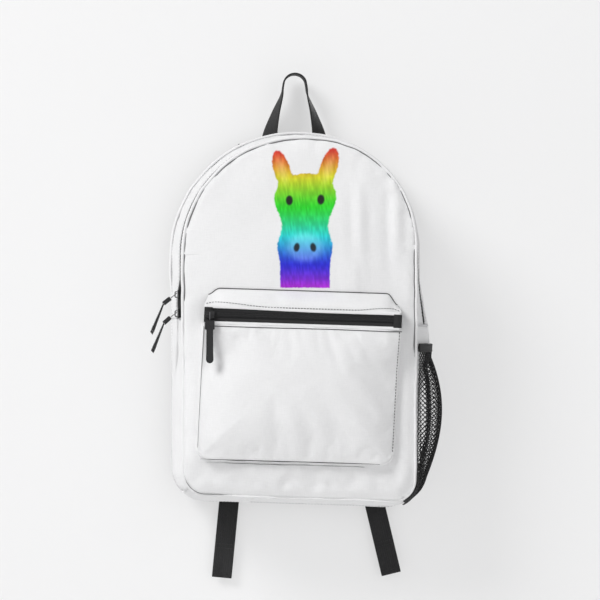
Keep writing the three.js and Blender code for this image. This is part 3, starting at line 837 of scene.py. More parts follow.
def add_piping():
    """The front cord stands proud round the dome only, and the rear one lies flush low down."""
    along = np.linspace(0, SEAM_LENGTH, 420, endpoint=False)
    _, height = on_seam(along, 0)
    wobble = seam_wobble(along)
    proud = smooth(-0.34, -0.27, height)
    front = wall(along, FRONT_Y + (1.6 - 2.6 * proud) * MM, (0.1 + 1.5 * proud) * MM + wobble)
    proud = smooth(-0.27, -0.22, height)
    rear = wall(along, np.full(420, REAR_Y + 2.0 * MM), (2.2 * proud - 1.2) * MM + wobble)
    for name, path, radius in (("front", front, 1.7 * MM), ("rear", rear, 1.8 * MM)):
        cord = sweep(f"{name}_piping_cord", path, round_section(radius, 12), closed=True)
        add(cord, "white_canvas", "bag", f"{name}_piping")


def add_front_seam_shade(name, start, end, wide):
    """A dark tube laid in the front seam's groove: painted seam shade, thinner towards its ends."""
    along = np.linspace(start, end, 380)
    from_ends = np.minimum(along - min(start, end), max(start, end) - along)
    taper = np.clip(from_ends / (12 * MM), 0.25, 1)
    path = wall(along, np.full(380, FRONT_Y - 1.3 * MM), -0.5 * MM + seam_wobble(along))
    groove = sweep(f"front_{name}_seam", path, round_section(wide, 8), scale=taper)
    add(groove, "grey_thread_and_seam_shade", "bag")


def add_gusset_stitching():
    """Rows beside both seams and both edges of the zip's opening."""
    whole = np.linspace(0, SEAM_LENGTH, 900)
    opening = np.linspace(ZIP_START, SEAM_LENGTH - ZIP_START, 600)
    made = [wall_row(whole, y, 0.35 * MM) for y in (FRONT_Y + 4 * MM, REAR_Y - 4 * MM)]
    made += [wall_row(opening, y, 0.5 * MM) for y in (ZIP_FRONT_Y - 2.6 * MM, ZIP_REAR_Y + 2.6 * MM)]
    rows, facings = [row for row, _ in made], [facing for _, facing in made]
    add(stitches("gusset_stitching", rows, facings), "white_thread", "bag")


def add_body():
    add_shell()
    add_piping()
    # The front seam's dark tubes, round the dome and at one lower corner, are painted seam shade.
    add_front_seam_shade("dome", ZIP_START - 34 * MM, SEAM_LENGTH - ZIP_START - 16 * MM, 0.55 * MM)
    add_front_seam_shade("corner", -FLAT * 0.72, -SIDE_START * 0.97, 0.34 * MM)
    add_gusset_stitching()
    y = np.linspace(FRONT_Y + 2 * MM, REAR_Y - 2 * MM, 60)
    for name, along in (("left", SEAM_LENGTH - ZIP_START), ("right", ZIP_START)):
        path = wall(np.full(60, along), y, 0.3 * MM)
        seam = sweep(f"zip_end_seam_{name}", path, flat_section(1.6 * MM, 0.9 * MM, 4), through=(1, 0, 0))
        add(seam, "white_thread", "bag")


def add_main_zip():
    start, end = ZIP_START + 1 * MM, SEAM_LENGTH - ZIP_START - 1 * MM
    for name, y0, y1 in (("front", ZIP_FRONT_Y - 1 * MM, ZIP_Y - 0.2 * MM),
                         ("rear", ZIP_Y + 0.2 * MM, ZIP_REAR_Y + 1 * MM)):
        tape = wall_grid(start, end, y0, y1, -1.0 * MM, columns=5, ripple=0.05 * MM)
        add(surface(f"main_zip_{name}_tape", tape, 0.7 * MM), "zip_tape", "bag", f"main_zip_tape_{name}")
    along = np.linspace(start + 2 * MM, end - 2 * MM, 900)
    depth = -0.8 * MM
    centre, out = wall_row(along, ZIP_Y, depth)
    across = unit(wall(along, np.full(900, ZIP_Y) + 1 * MM, depth) - centre)
    add(zip_teeth("main_zip_teeth", centre, across, out), "zip_coil", "bag", "main_zip_coil")


def add_runners():
    """The sliders, bridges and links keep their shapes, with softened edges. The grips are remade."""
    parts = (("slider", "zip_slider", 0.5 * MM), ("bridge", "zip_slider", 0.4 * MM),
             ("link", "link_metal", 0.3 * MM))
    for runner, body in (("main_upper", "upper"), ("main_lower", "lower"), ("pocket", "pocket")):
        for part, look, width in parts:
            finished_cad(f"{runner}_{part}", look, width)
        add(moulded_grip(runner), "pull_rubber", f"{body}_grip", f"{runner}_pull")


def finished_cad(node, look, width, segments=3):
    """A CAD part that stays: its material, and rounded edges."""
    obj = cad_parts[node]
    obj.data.materials.clear()
    obj.data.materials.append(MATERIALS[look])
    round_edges(obj, width, segments, 25)


def moulded_grip(runner):
    """A grip: the frame's own shape, rounded like a moulding. The main zip's are a little fuller."""
    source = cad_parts[f"{runner}_pull"]
    grip = bpy.data.objects.new(f"{runner}_grip_moulding", source.data.copy())
    bpy.context.scene.collection.objects.link(grip)
    grip.data.polygons.foreach_set("use_smooth", [True] * len(grip.data.polygons))
    if runner != "pocket":
        full = grip.modifiers.new("full", "DISPLACE")
        full.strength, full.mid_level = 0.35 * MM, 0
    round_edges(grip, 0.9 * MM, 4, 30)
    return grip


# ---------------------------------------------------------------- the front pocket

def pocket_outline(samples=160, grow=0.0):
    """The pocket face's edge below the zip, from its top left round to its top right: x and z."""
    half, low, r = POCKET_HALF + grow, POCKET_BOTTOM - grow, POCKET_CORNER + grow
    turn = np.linspace(0, math.pi / 2, 14)
    left = np.stack([-half + r - r * np.cos(turn), low + r - r * np.sin(turn)], 1)
    right = np.stack([half - r + r * np.sin(turn), low + r - r * np.cos(turn)], 1)
    line = np.vstack([[[-half, -TAPE_HALF]], left, right, [[half, -TAPE_HALF]]])
    return resampled(line, samples)


def pocket_face_grid(columns=76, rows=52):
    """The face's grid follows its rounded lower corners."""
    u, v = np.meshgrid(np.linspace(-1, 1, columns), np.linspace(0, 1, rows), indexing="ij")
    past = np.maximum(np.abs(u) * POCKET_HALF - POCKET_HALF + POCKET_CORNER, 0)  # into the corner's arc
    low = POCKET_BOTTOM + POCKET_CORNER - np.sqrt(np.maximum(POCKET_CORNER**2 - past**2, 0))
    z = -TAPE_HALF + v * (low + TAPE_HALF)
    return u * POCKET_HALF, z


def rim_drop(x, z):
    """How far the pocket's edge lies behind the plane of its zip: flatter lower down and to the right."""
    return 12 * MM * smooth(-14 * MM, -62 * MM, z) + 4 * MM * smooth(0.09, 0.107, x)


def add_pocket_face():
    x, z = pocket_face_grid()
    sides = np.minimum(POCKET_HALF - np.abs(x), z - POCKET_BOTTOM)
    edge = np.minimum(sides, -TAPE_HALF - z)
    fall = np.clip((-TAPE_HALF - z) / (-TAPE_HALF - POCKET_BOTTOM), 0, 1)
    swell = 4 * MM * (1 - (x / POCKET_HALF) ** 2) * np.sin(math.pi * fall) ** 0.8
    folds = 1.5 * MM * noise(x, z, 38 * MM, 41) + 0.8 * MM * noise(x + 0.5 * z, z * 0.4, 16 * MM, 42)
    tucks = 0.6 * MM * noise(x, z * 0.2, 7 * MM, 43) * smooth(22 * MM, 2 * MM, edge)
    y = POCKET_Y + 0.2 * MM + rim_drop(x, z) * (1 - smooth(0, 48 * MM, sides) ** 0.8) - swell \
        - (folds + tucks) * smooth(0, 12 * MM, edge)
    face = surface("pocket_face_cloth", pocket_point(x, y, z), 0)
    columns, rows = x.shape
    index = np.arange(columns * rows).reshape(columns, rows)
    pinned = np.unique(np.concatenate([index[0], index[-1], index[:, 0], index[:, -1]]))
    billow(face, pinned, pressure=1.2, slack=0.006, cap=5 * MM)
    thicken(face, 1 * MM)
    refine(face)
    return add(face, "white_canvas", "bag", "pocket_front")


def add_pocket_gusset():
    """The skirt from the face's edge back to the front panel."""
    line = pocket_outline(220)
    wobble = 0.4 * MM * noise(np.arange(220) * MM, 0, 6 * MM, 44)
    rim_y = POCKET_Y + 0.2 * MM + rim_drop(line[:, 0], line[:, 1])
    grow, fall = 0.012, 1.2 * MM  # from the skirt's rim to its foot
    foot = panel_face(pocket_point(line[:, 0] * (1 + grow), rim_y, line[:, 1] - fall), -0.4 * MM)
    skirt = []
    for share in np.linspace(0, 1, 10):
        slack = (wobble - 1.6 * MM) * math.sin(math.pi * share)
        rim = pocket_point(line[:, 0] * (1 + grow * share), rim_y, line[:, 1] - fall * share + slack)
        rim[:, 1] = rim_y + (foot[:, 1] - rim_y) * share
        skirt.append(rim)
    add(surface("pocket_gusset_cloth", np.stack(skirt, 1)), "white_canvas", "bag",
        "pocket_gusset_left", "pocket_gusset_right", "pocket_gusset_bottom")


def low_pocket_line(start, end, drop):
    """A line under the pocket's face, between shares of its half width."""
    x = np.linspace(start, end, 260) * POCKET_HALF
    low = POCKET_BOTTOM - drop + 0.35 * MM * noise(x, x * 0, 13 * MM, 46)
    return pocket_point(x, POCKET_Y + 1.1 * MM + rim_drop(x, low), low)


def add_pocket_seams(face):
    taper = np.clip(1.15 - 1.1 * np.abs(np.linspace(-1, 1, 260)) ** 3, 0.2, 1)
    # The gap line is a dark tube under the lower edge of the pocket's face: painted shadow.
    gap = low_pocket_line(-0.96, 0.86, 0.6 * MM)
    foot = panel_face(low_pocket_line(-0.9, 1.0, 4.6 * MM), 1.1 * MM)
    for name, path, wide, look in (("gap", gap, 0.75 * MM, "dark_thread_and_gap_shadow"),
                                   ("foot", foot, 0.32 * MM, "grey_thread_and_seam_shade")):
        add(sweep(f"pocket_{name}_seam", path, round_section(wide, 8), scale=taper), look, "bag")

    side_z = np.linspace(-TAPE_HALF - 5 * MM, POCKET_BOTTOM + 12 * MM, 200)
    path = face_line(face, np.full(200, -(POCKET_HALF - 0.4 * MM)), side_z)
    add(sweep("pocket_left_seam", path, round_section(0.3 * MM, 8), scale=np.linspace(1, 0.5, 200)),
        "grey_thread_and_seam_shade", "bag")
    path = face_line(face, np.full(200, POCKET_HALF - 1.6 * MM), side_z)
    add(stitches("pocket_side_stitching", [path], (0, -1, 0), 2.4 * MM, 0.9 * MM, 0.42 * MM),
        "dark_thread_and_gap_shadow", "bag")
    across = np.linspace(-POCKET_HALF + 9 * MM, POCKET_HALF + 1 * MM, 240)
    level = -TAPE_HALF - 4.6 * MM + 0.3 * MM * noise(across, across * 0, 30 * MM, 47)
    path = face_line(face, across, level)
    add(sweep("pocket_face_seam", path, round_section(0.42 * MM, 8)), "dark_thread_and_gap_shadow", "bag")


def add_pocket():
    face = add_pocket_face()
    add_pocket_gusset()
    add_pocket_seams(face)
    add_pocket_top()
    add_pocket_zip()


def face_line(face, x, z):
    """A line across the pocket's face at the depth of its cloth, so that stitches sit on it."""
    wanted = pocket_point(x, np.zeros(len(x)), z)
    cloth = np.array([v.co for v in face.data.vertices])
    flat = cloth[:, [0, 2]]
    y = []
    for px, _, pz in wanted:
        away = (flat[:, 0] - px) ** 2 + (flat[:, 1] - pz) ** 2
        near = np.argpartition(away, 4)[:4]
        weight = 1 / (away[near] + 1e-9)
        y.append((cloth[near, 1] * weight).sum() / weight.sum())
    return pocket_point(x, np.array(y) - 0.25 * MM, z)


def pocket_top_point(u, v):
    """The strip over the pocket's zip slopes back to the front seam, tucked in at both ends."""
    x = u * POCKET_HALF * (1 - 0.035 * smooth(0.2, 1, v))
    ends = smooth(0.87, 1, np.abs(u)) ** 1.4
    z = TAPE_HALF + v * (POCKET_TOP - TAPE_HALF) - np.where(u > 0, 12 * MM, 7 * MM) * ends * v
    front_y = POCKET_Y + 0.6 * MM + rim_drop(x, z * 0)
    point = pocket_point(x, front_y, z)
    seam = panel_face(point, 1.2 * MM)[..., 1]
    crown = 3.6 * MM * np.sin(math.pi * v) * (1 - u**6)
    tuck = 4.5 * MM * smooth(0.8, 0.95, np.abs(u)) * smooth(1.0, 0.9, np.abs(u)) * np.sin(math.pi * v)
    wrinkle = 1.1 * MM * noise(x, z * 0.6, 15 * MM, 51) * np.sin(math.pi * v)
    point[..., 1] = front_y + (seam - front_y) * v**1.25 - crown + tuck - wrinkle
    return point


def add_pocket_top():
    u, v = np.meshgrid(np.linspace(-1, 1, 180), np.linspace(0, 1, 24), indexing="ij")
    add(surface("pocket_top_cloth", pocket_top_point(u, v)), "white_canvas", "bag", "pocket_top")
    across = np.linspace(-1, 1, 260)
    path = pocket_top_point(across, np.full(260, 1.0)) - np.array([0, 0.9 * MM, 0])
    add(sweep("pocket_top_seam", path, round_section(0.45 * MM, 8)), "dark_thread_and_gap_shadow", "bag")
    line = np.linspace(-0.985, 0.985, 260)
    share = 0.30 - 0.2 * smooth(-0.9, -0.3, line) + 0.14 * smooth(0.5, 0.85, line)
    row = pocket_top_point(line, share) - np.array([0, 0.3 * MM, 0])
    add(stitches("pocket_top_stitching", [row], (0, -1, 0), 2.4 * MM, 0.8 * MM, 0.4 * MM),
        "dark_thread_and_gap_shadow", "bag")


def add_pocket_zip():
    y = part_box("pocket_zip_tape_upper")[0].y
    reach = POCKET_HALF - 2 * MM
    for name, way in (("upper", 1), ("lower", -1)):
        z0, z1 = way * 0.3 * MM, way * (TAPE_HALF + 0.6 * MM)
        u, v = np.meshgrid(np.linspace(-reach, reach, 120), np.linspace(z0, z1, 6), indexing="ij")
        rise = 0.12 * MM * noise(u, v, 14 * MM, 61)
        tape = surface(f"pocket_zip_{name}_tape", pocket_point(u, y + rise, v), 0.7 * MM)
        add(tape, "zip_tape", "bag", f"pocket_zip_tape_{name}")
        edge = np.linspace(-reach, reach, 160)
        covered = 1.6 * MM * smooth(-0.9 * reach, 0.3 * reach, edge) * (z1 > 0)
        lip = pocket_point(edge, np.full(160, y - 0.5 * MM), z1 + way * 0.5 * MM - covered)
        add(sweep(f"pocket_zip_{name}_welt", lip, flat_section(3.4 * MM, 1.4 * MM, 4)),
            "white_canvas", "bag")
    along = np.linspace(-reach + 5 * MM, reach - 5 * MM, 400)
    centre = pocket_point(along, np.full(400, y + 0.1 * MM), np.zeros(400))
    across = np.broadcast_to([0, 0, 1.0], centre.shape)
    out = np.broadcast_to([0, -1.0, 0], centre.shape)
    add(zip_teeth("pocket_zip_teeth", centre, across, out, height=1.25 * MM), "zip_coil", "bag",
        "pocket_zip_coil")
    for name, sign in SIDES.items():
        u = np.linspace(-TAPE_HALF - 0.5 * MM, TAPE_HALF + (0.5 if sign < 0 else -1.4) * MM, 12)
        x = sign * (POCKET_HALF - 4.5 * MM)
        path = pocket_point(np.full(12, x), np.full(12, y - 0.9 * MM), u)
        tab = sweep(f"pocket_zip_{name}_tab", path, flat_section(9 * MM, 1.5 * MM, 6))
        add(tab, "zip_tape", "bag", f"pocket_zip_end_{name}")


# ---------------------------------------------------------------- the side pocket

def net_point(rise, across, lift=0.0):
    """A point of the side pocket, from its share of the height and of the bag's depth."""
    start, end = SIDE_START - math.pi / 3 * CORNER, ZIP_START - 27 * MM
    belly = np.sin(math.pi * np.maximum(1 - rise, 0) ** 0.85)
    stand = (25 * MM * belly + 11 * MM * np.maximum(rise, 0) ** 3) * np.sin(math.pi * np.clip(across, 0, 1))
    pleat = 9 * MM * np.exp(-(((across - 0.3) / 0.06) ** 2)) * np.sin(math.pi * np.clip(rise, 0, 1)) ** 0.5
    y0, y1 = FRONT_Y + 5 * MM, REAR_Y - 4 * MM
    y = y0 + across * (y1 - y0)
    along = start + rise * (end - start)
    swell = bulge(along) * np.sin(math.pi * np.clip((y - FRONT_Y) / (REAR_Y - FRONT_Y), 0, 1))
    out = np.maximum(stand - pleat, swell + 1.5 * MM) - swell + 1.2 * MM + lift
    return wall(along, y, out)


def knit(name, rows, columns, place):
    """A net of diamond cells over the points that a function gives for its shares."""
    i, j = np.meshgrid(np.arange(rows + 1), np.arange(columns + 1), indexing="ij")
    points = place(i / rows, j / columns).reshape(-1, 3)
    odd = ((i + j) % 2 == 1) & (i > 0) & (i < rows) & (j > 0) & (j < columns)
    ci, cj = i[odd], j[odd]
    at = lambda a, b: a * (columns + 1) + b
    faces = np.stack([at(ci - 1, cj), at(ci, cj + 1), at(ci + 1, cj), at(ci, cj - 1)], 1)
    points, faces, _ = only_used(points, faces)
    net = mesh_object(name, points, faces)
    wire = net.modifiers.new("yarn", "WIREFRAME")
    wire.thickness, wire.use_even_offset, wire.use_boundary = 1.15 * MM, False, True
    return net


def add_side_pocket():
    add(knit("side_net", 64, 34, net_point), "mesh", "bag", "side_mesh_pocket")
    folded = lambda rise, share: net_point(rise, 0.16 + 0.3 * share, -2.2 * MM)
    add(knit("side_net_fold", 67, 12, folded), "mesh", "bag")

    across = np.linspace(0, 1, 60)
    path = net_point(np.full(60, 1.02), across)
    out = unit(net_point(np.full(60, 1.02), across, 2 * MM) - path)
    gathers = 1 + 0.06 * noise(across, 0, 0.05, 71)
    hem = sweep("net_binding", path, flat_section(9.5 * MM, 1.8 * MM, 6), through=out, scale=gathers)
    add(hem, "webbing", "bag", "mesh_pocket_binding")
    rises = [np.full(60, rise) for rise in (1.0, 1.04)]
    rows = [net_point(rise, across, 1.0 * MM) for rise in rises]
    facings = [unit(net_point(rise, across, 3 * MM) - row) for rise, row in zip(rises, rows)]
    add(stitches("net_binding_stitching", rows, facings, 1.8 * MM), "black_thread", "bag")


# ---------------------------------------------------------------- webbing, straps and back

LOOP_FOOT_X = 28 * MM


def add_haul_loop():
    """Flat against the bag at its feet, and turned edge on to the viewer over the peg."""
    loop_radius = 13 * MM
    legs = [(LOOP_FOOT_X, LOOP_FOOT_Z), (LOOP_FOOT_X, -70 * MM), (22 * MM, -45 * MM), (15 * MM, -24 * MM)]
    over = [(loop_radius * math.cos(t), -12.1 * MM + loop_radius * math.sin(t))
            for t in np.linspace(0, math.pi, 7)]
    points = legs + over + [(-x, z) for x, z in reversed(legs)]
    line = curve_through(points, 140)
    x, z = line[:, 0], line[:, 1]
    narrow = np.clip((z + 88 * MM) / (88 * MM - 18 * MM), 0, 1)
    lift = np.arccos(1 - narrow) / (math.pi / 2)
    back = 5.3 * MM * (1 - smooth(-70 * MM, -20 * MM, z))
    path = np.stack([x, back, z], 1)
    way = unit(np.gradient(line, axis=0))
    normal = np.stack([-way[:, 1], np.zeros(len(line)), way[:, 0]], 1)
    turn = lift * math.pi / 2
    forward = np.array([0, -1.0, 0])
    across = normal * np.cos(turn)[:, None] + forward * np.sin(turn)[:, None]
    through = -normal * np.sin(turn)[:, None] + forward * np.cos(turn)[:, None]
    loop = sweep("haul_loop_webbing", path, flat_section(WEBBING, 1.8 * MM, 8), frames=(across, through))
    add(loop, "webbing", "bag", "haul_loop")


def add_yoke():
    """The patch over the loop's feet and the straps' tops, sewn round its edge and with two crosses."""
    low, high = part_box("strap_yoke")
    u, v = np.meshgrid(np.linspace(low.x, high.x, 50), np.linspace(low.z, high.z, 12), indexing="ij")
    edge = np.minimum.reduce([u - low.x, high.x - u, v - low.z, high.z - v])
    y = high.y - 0.8 * MM * smooth(3 * MM, 0, edge) + 0.25 * MM * noise(u, v, 12 * MM, 81)
    yoke = surface("yoke_patch", np.stack([u, y, v], -1), 1.4 * MM)
    add(yoke, "webbing", "bag", "strap_yoke")
    inner, cross = 3 * MM, 9 * MM
    left, right, foot, top = low.x + inner, high.x - inner, low.z + inner, high.z - inner
    corners = [(left, foot), (right, foot), (right, top), (left, top), (left, foot)]
    rows = [corners]
    for middle in (-LOOP_FOOT_X, LOOP_FOOT_X):
        rows.append([(middle - cross, foot), (middle + cross, top)])
        rows.append([(middle + cross, foot), (middle - cross, top)])
    rows = [np.array([(x, high.y + 0.3 * MM, z) for x, z in row]) for row in rows]
    rows = [resampled(r, 200) for r in rows]
    add(stitches("yoke_stitching", rows, (0, 1, 0)), "black_thread", "bag")


def strap_line(side):
    """The pad's middle line in plan, from the yoke down to its buckle, and its width along it."""
    sign = SIDES[side]
    lock_low, lock_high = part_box(f"ladder_lock_{side}")
    end = (lock_low.x + lock_high.x) / 2
    points = [(sign * x * MM, z * MM) for x, z in ((34, -114), (52, -168), (72, -235), (76, -310))]
    points += [(end + sign * MM, lock_high.z + 30 * MM), (end, lock_high.z + 6 * MM)]
    line = curve_through(points, 90)
    share = np.linspace(0, 1, 90)
    return line, (56 + 8 * np.sin(math.pi * share) - 16 * share**2) * MM, end, lock_high.z


def add_strap_pad(side):
    line, width, _, _ = strap_line(side)
    low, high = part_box(f"strap_pad_{side}")
    middle, half = (low.y + high.y) / 2, (high.y - low.y) / 2
    way = unit(np.gradient(line, axis=0))
    columns = 22
    turn = np.linspace(0, 2 * math.pi, columns * 2, endpoint=False)
    flat = np.sign(np.cos(turn)) * np.abs(np.cos(turn)) ** 0.7
    thick = np.sign(np.sin(turn)) * np.abs(np.sin(turn)) ** 0.75
    share = np.linspace(0, 1, len(line))
    ends = np.sqrt(np.clip(np.minimum(share, 1 - share) / 0.03, 0.12, 1))
    quilt = 1 - 0.22 * np.exp(-((((share * 6) % 1) - 0.5) / 0.06) ** 2)
    rows = []
    for k in range(len(line)):
        offset = flat * width[k] / 2 * (0.9 + 0.1 * ends[k])
        rise = thick * half * 0.92 * ends[k] * quilt[k]
        rows.append(np.stack([line[k, 0] - way[k, 1] * offset, middle + rise,
                              line[k, 1] + way[k, 0] * offset], 1))
    grid = np.array(rows)
    n, m = grid.shape[:2]
    uv = np.stack(np.broadcast_arrays(np.cumsum(np.full(n, 2.9 * MM))[:, None],
                                      (flat * 28 * MM)[None, :]), -1)
    pad = mesh_object(f"strap_pad_{side}_cushion", grid, tube_faces(n, m), uv)
    make_outward(pad)
    edge = np.where(np.abs(thick) < 0.25)[0]
    seams = [k for k in range(n) if quilt[k] < 0.85]
    pinned = {k * m + e for k in range(n) for e in edge} | {k * m + e for k in seams for e in range(m)}
    pinned |= {k * m + e for k in (0, 1, n - 2, n - 1) for e in range(m)}
    billow(pad, sorted(pinned), pressure=2.0, slack=0.004, cap=1.2 * MM, frames=14)
    add(pad, "black_canvas", f"strap_{side}", f"strap_pad_{side}")

    loops = []
    for sign in (-1, 1):
        offset = (width / 2 * (0.9 + 0.1 * ends))[:, None] * sign
        normal = np.stack([-way[:, 1], way[:, 0]], 1)
        loops.append(line + normal * offset * 0.985)
    around = np.vstack([loops[0], loops[1][::-1]])
    path = resampled(np.vstack([around, around[:1]]), 260)[:-1]
    path = np.stack([path[:, 0], np.full(len(path), middle), path[:, 1]], 1)
    binding = sweep(f"strap_binding_{side}", path, flat_section(1.6 * MM, 4.4 * MM, 3), closed=True)
    add(binding, "webbing", f"strap_{side}")


def add_strap_root(side):
    """A tongue of webbing that goes from under the yoke into the top of the pad."""
    sign = SIDES[side]
    low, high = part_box("strap_yoke")
    pad_low, pad_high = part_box(f"strap_pad_{side}")
    x = sign * 34 * MM
    path = curve_through([(x - sign * 1.5 * MM, high.y - 1.2 * MM, low.z + 8 * MM),
                          (x, high.y - 0.2 * MM, low.z),
                          (x + sign * 1.5 * MM, (pad_low.y + pad_high.y) / 2, -112 * MM),
                          (x + sign * 4 * MM, (pad_low.y + pad_high.y) / 2, -122 * MM)], 24)
    root = sweep(f"strap_root_{side}", path, flat_section(50 * MM, 2.4 * MM, 10))
    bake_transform(root, "bag", f"strap_{side}", start=(x, 0.0074, low.z + 2 * MM), end=(x, 0.0074, -112 * MM))
    add(root, "webbing", None)


def add_buckle(side):
    _, _, end, top = strap_line(side)
    finished_cad(f"ladder_lock_{side}", "buckle_plastic", 0.8 * MM, 4)
    thick = 1.4 * MM
    inside, outside = BACK_Y + 2.9 * MM, BACK_Y + 6.5 * MM
    half = thick / 2

    def ribbon(name, points, look, body, *nodes):
        path = curve_through([(end, y, z) for y, z in points], 60)
        across = np.broadcast_to([1.0, 0, 0], path.shape)
        along = unit(np.gradient(path, axis=0))
        add(sweep(name, path, flat_section(WEBBING, thick, 8), frames=(across, np.cross(across, along))),
            look, body, *nodes)

    bar = top - 4.3 * MM
    ribbon(f"buckle_loop_{side}_webbing",
           [(inside - half, top + 12 * MM), (inside - half, top + 4 * MM), (inside - half, bar + 0.6 * MM),
            (inside + 0.3 * MM, bar - half), (outside - 0.3 * MM, bar - half),
            (outside + half, bar + 0.6 * MM),
            (outside + half, top + 4 * MM), (outside + half, top + 12 * MM)],
           "webbing", f"strap_{side}", f"buckle_loop_{side}")
    turn = top - 12.7 * MM
    ribbon(f"webbing_turn_{side}_strap",
           [(inside - half, top - 19 * MM), (inside - half, turn - 1 * MM), (inside + 0.4 * MM, turn + half),
            (outside - 0.4 * MM, turn + half), (outside + half, turn - 1 * MM),
            (outside + half, top - 22 * MM), (outside + half, top - 30.6 * MM)],
           "webbing", f"strap_{side}", f"webbing_turn_{side}")


def add_lower_webbing(side):
    """The adjusting webbing, from the buckle down and out to its corner tab."""
    sign = SIDES[side]
    _, _, end, top = strap_line(side)
    y = BACK_Y + 2.1 * MM
    plan = [(end, top - 18.5 * MM), (end, top - 24 * MM), (end + 1.5 * sign * MM, top - 36 * MM),
            (sign * 92 * MM, -450 * MM), (sign * 118 * MM, -468 * MM)]
    line = curve_through(plan, 70)
    path = np.stack([line[:, 0], np.full(70, y), line[:, 1]], 1)
    settled = smooth(0.1, 0.8, np.linspace(0, 1, 70))[:, None]
    path = path * (1 - settled) + soften(path) * settled
    strap = sweep(f"strap_webbing_{side}_strap", path, flat_section(WEBBING, 1.1 * MM, 8))
    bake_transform(strap, f"strap_{side}", "bag", start=tuple(path[6]), end=tuple(path[-12]))
    add(strap, "webbing", None, f"strap_webbing_{side}")
    corners = np.array([(96, -440), (124, -474), (133, -462), (134, -440)], float) * MM
    u, v = np.meshgrid(np.linspace(0, 1, 14), np.linspace(0, 1, 12), indexing="ij")
    flat = (corners[0] * ((1 - u) * (1 - v))[..., None] + corners[1] * (u * (1 - v))[..., None]
            + corners[2] * (u * v)[..., None] + corners[3] * ((1 - u) * v)[..., None])
    tab = np.stack([flat[..., 0] * sign, np.full(u.shape, BACK_Y + 1.3 * MM), flat[..., 1]], -1)
    add(surface(f"anchor_tab_{side}", soften(tab), 0.9 * MM), "webbing", "bag", f"strap_anchor_{side}")


def add_tail(side):
    """The spare webbing hangs free, with a slight wave, and its end is folded up and sewn."""
    box_low, box_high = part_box(f"strap_tail_{side}")
    _, _, end, top = strap_line(side)
    lean = math.atan2((box_low.x + box_high.x) / 2 - end, (box_high.z - box_low.z) / 2)
    start_z, length, hem = top - 31.2 * MM, 149 * MM, 42 * MM
    sine, cosine = math.sin(lean), math.cos(lean)
    across = np.array([cosine, 0, sine])

    def hang(share, lift=0.0):
        """Points at shares of the tail's length, lifted off its face."""
        wave = 0.5 * MM * np.sin(share * 5.0)
        return np.stack([end + sine * length * share, BACK_Y + 7.8 * MM + lift + wave,
                         start_z - cosine * length * share], -1)

    def strip(name, path, width):
        frames = (np.broadcast_to(across, path.shape), np.broadcast_to([0, 1.0, 0], path.shape))
        return sweep(name, path, flat_section(width, 1.4 * MM, 8), frames=frames)

    tail = strip(f"tail_{side}_webbing", hang(np.linspace(0.012, 1, 60)), WEBBING)
    add(tail, "webbing", f"tail_{side}", f"strap_tail_{side}")
    fold_start = 1 - hem / length
    fold = hang(np.linspace(1, fold_start, 30), 1.75 * MM)
    low_turn = fold[0] + np.array([sine, 0, -cosine]) * 0.7 * MM - [0, 0.9 * MM, 0]
    folded = strip(f"tail_{side}_fold", np.vstack([[low_turn], fold]), WEBBING - 0.4 * MM)
    add(folded, "webbing", f"tail_{side}", f"tail_hem_{side}")
    rows, facings = [], []
    for part in (fold_start + 0.03, fold_start + 0.06, 0.97):
        for facing, lift in ((-1, -0.85 * MM), (1, 2.6 * MM)):
            level = hang(np.array(part), lift)
            ends = np.array([level - across * 9.5 * MM, level + across * 9.5 * MM])
            rows.append(resampled(ends, 60))
            facings.append((0, facing, 0))
    add(stitches(f"tail_{side}_stitching", rows, facings, 2 * MM), "black_thread", f"tail_{side}")


def add_back():
    """The padded back: an outer cloth with sewn channels, over foam and a lining."""
    half = HALF + FLARE
    xs, zs = np.arange(-half, half + 1e-6, 3 * MM), np.arange(back_low.z, back_high.z + 2 * MM, 3 * MM)
    gx, gz = np.meshgrid(xs, zs, indexing="ij")
    x, z = onto_seam(gx, gz, FLARE)
    outside = (inset(gx, gz) < -FLARE - 1e-6).ravel()
    edge = inset(x, z) + FLARE
    channels = np.minimum(np.abs(np.abs(x) - 24 * MM), np.abs(z + 0.30 - 0.25 * np.abs(x)))
    channels = np.minimum(channels, np.abs(z + 0.175 - 0.1 * np.abs(x)))
    plump = 2.0 * MM * (1 - np.exp(-(channels / (6 * MM)) ** 2)) * smooth(0, 14 * MM, edge)
    y = BACK_Y - 2.2 * MM + plump - 0.8 * MM * smooth(4 * MM, 0, edge) + 0.15 * MM * noise(x, z, 20 * MM, 91)
    points = soften(np.stack([x, y, z], -1)).reshape(-1, 3)
    faces = grid_faces(len(xs), len(zs))
    points, faces, used = only_used(points, faces[~outside[faces].all(axis=1)][:, ::-1])
    back = mesh_object("back_panel_cloth", points, faces, np.stack([x, z], -1).reshape(-1, 2)[used])
    thicken(back, 1.2 * MM)
    refine(back)
    add(back, "black_canvas", "bag", "back_panel")


def add_inner_layers():
    """The foam, lining and sleeve are the frame's own shapes, settled as the rest of the bag is."""
    for node, look in (("back_foam", "foam"), ("back_lining", "lining"), ("laptop_sleeve", "lining"),
                       ("sleeve_binding", "webbing")):
        inner = bpy.data.objects.new(f"{node}_layer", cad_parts[node].data.copy())
        bpy.context.scene.collection.objects.link(inner)
        co = np.array([v.co for v in inner.data.vertices])
        inner.data.vertices.foreach_set("co", soften(co).astype(np.float32).ravel())
        cloth = inner.data.uv_layers.get("cloth") or inner.data.uv_layers.new(name="cloth")
        corners = np.zeros(len(inner.data.loops), np.int32)
        inner.data.loops.foreach_get("vertex_index", corners)
        cloth.data.foreach_set("uv", co[corners][:, [0, 2]].astype(np.float32).ravel())
        add(inner, look, "bag", node)


# ---------------------------------------------------------------- the setting

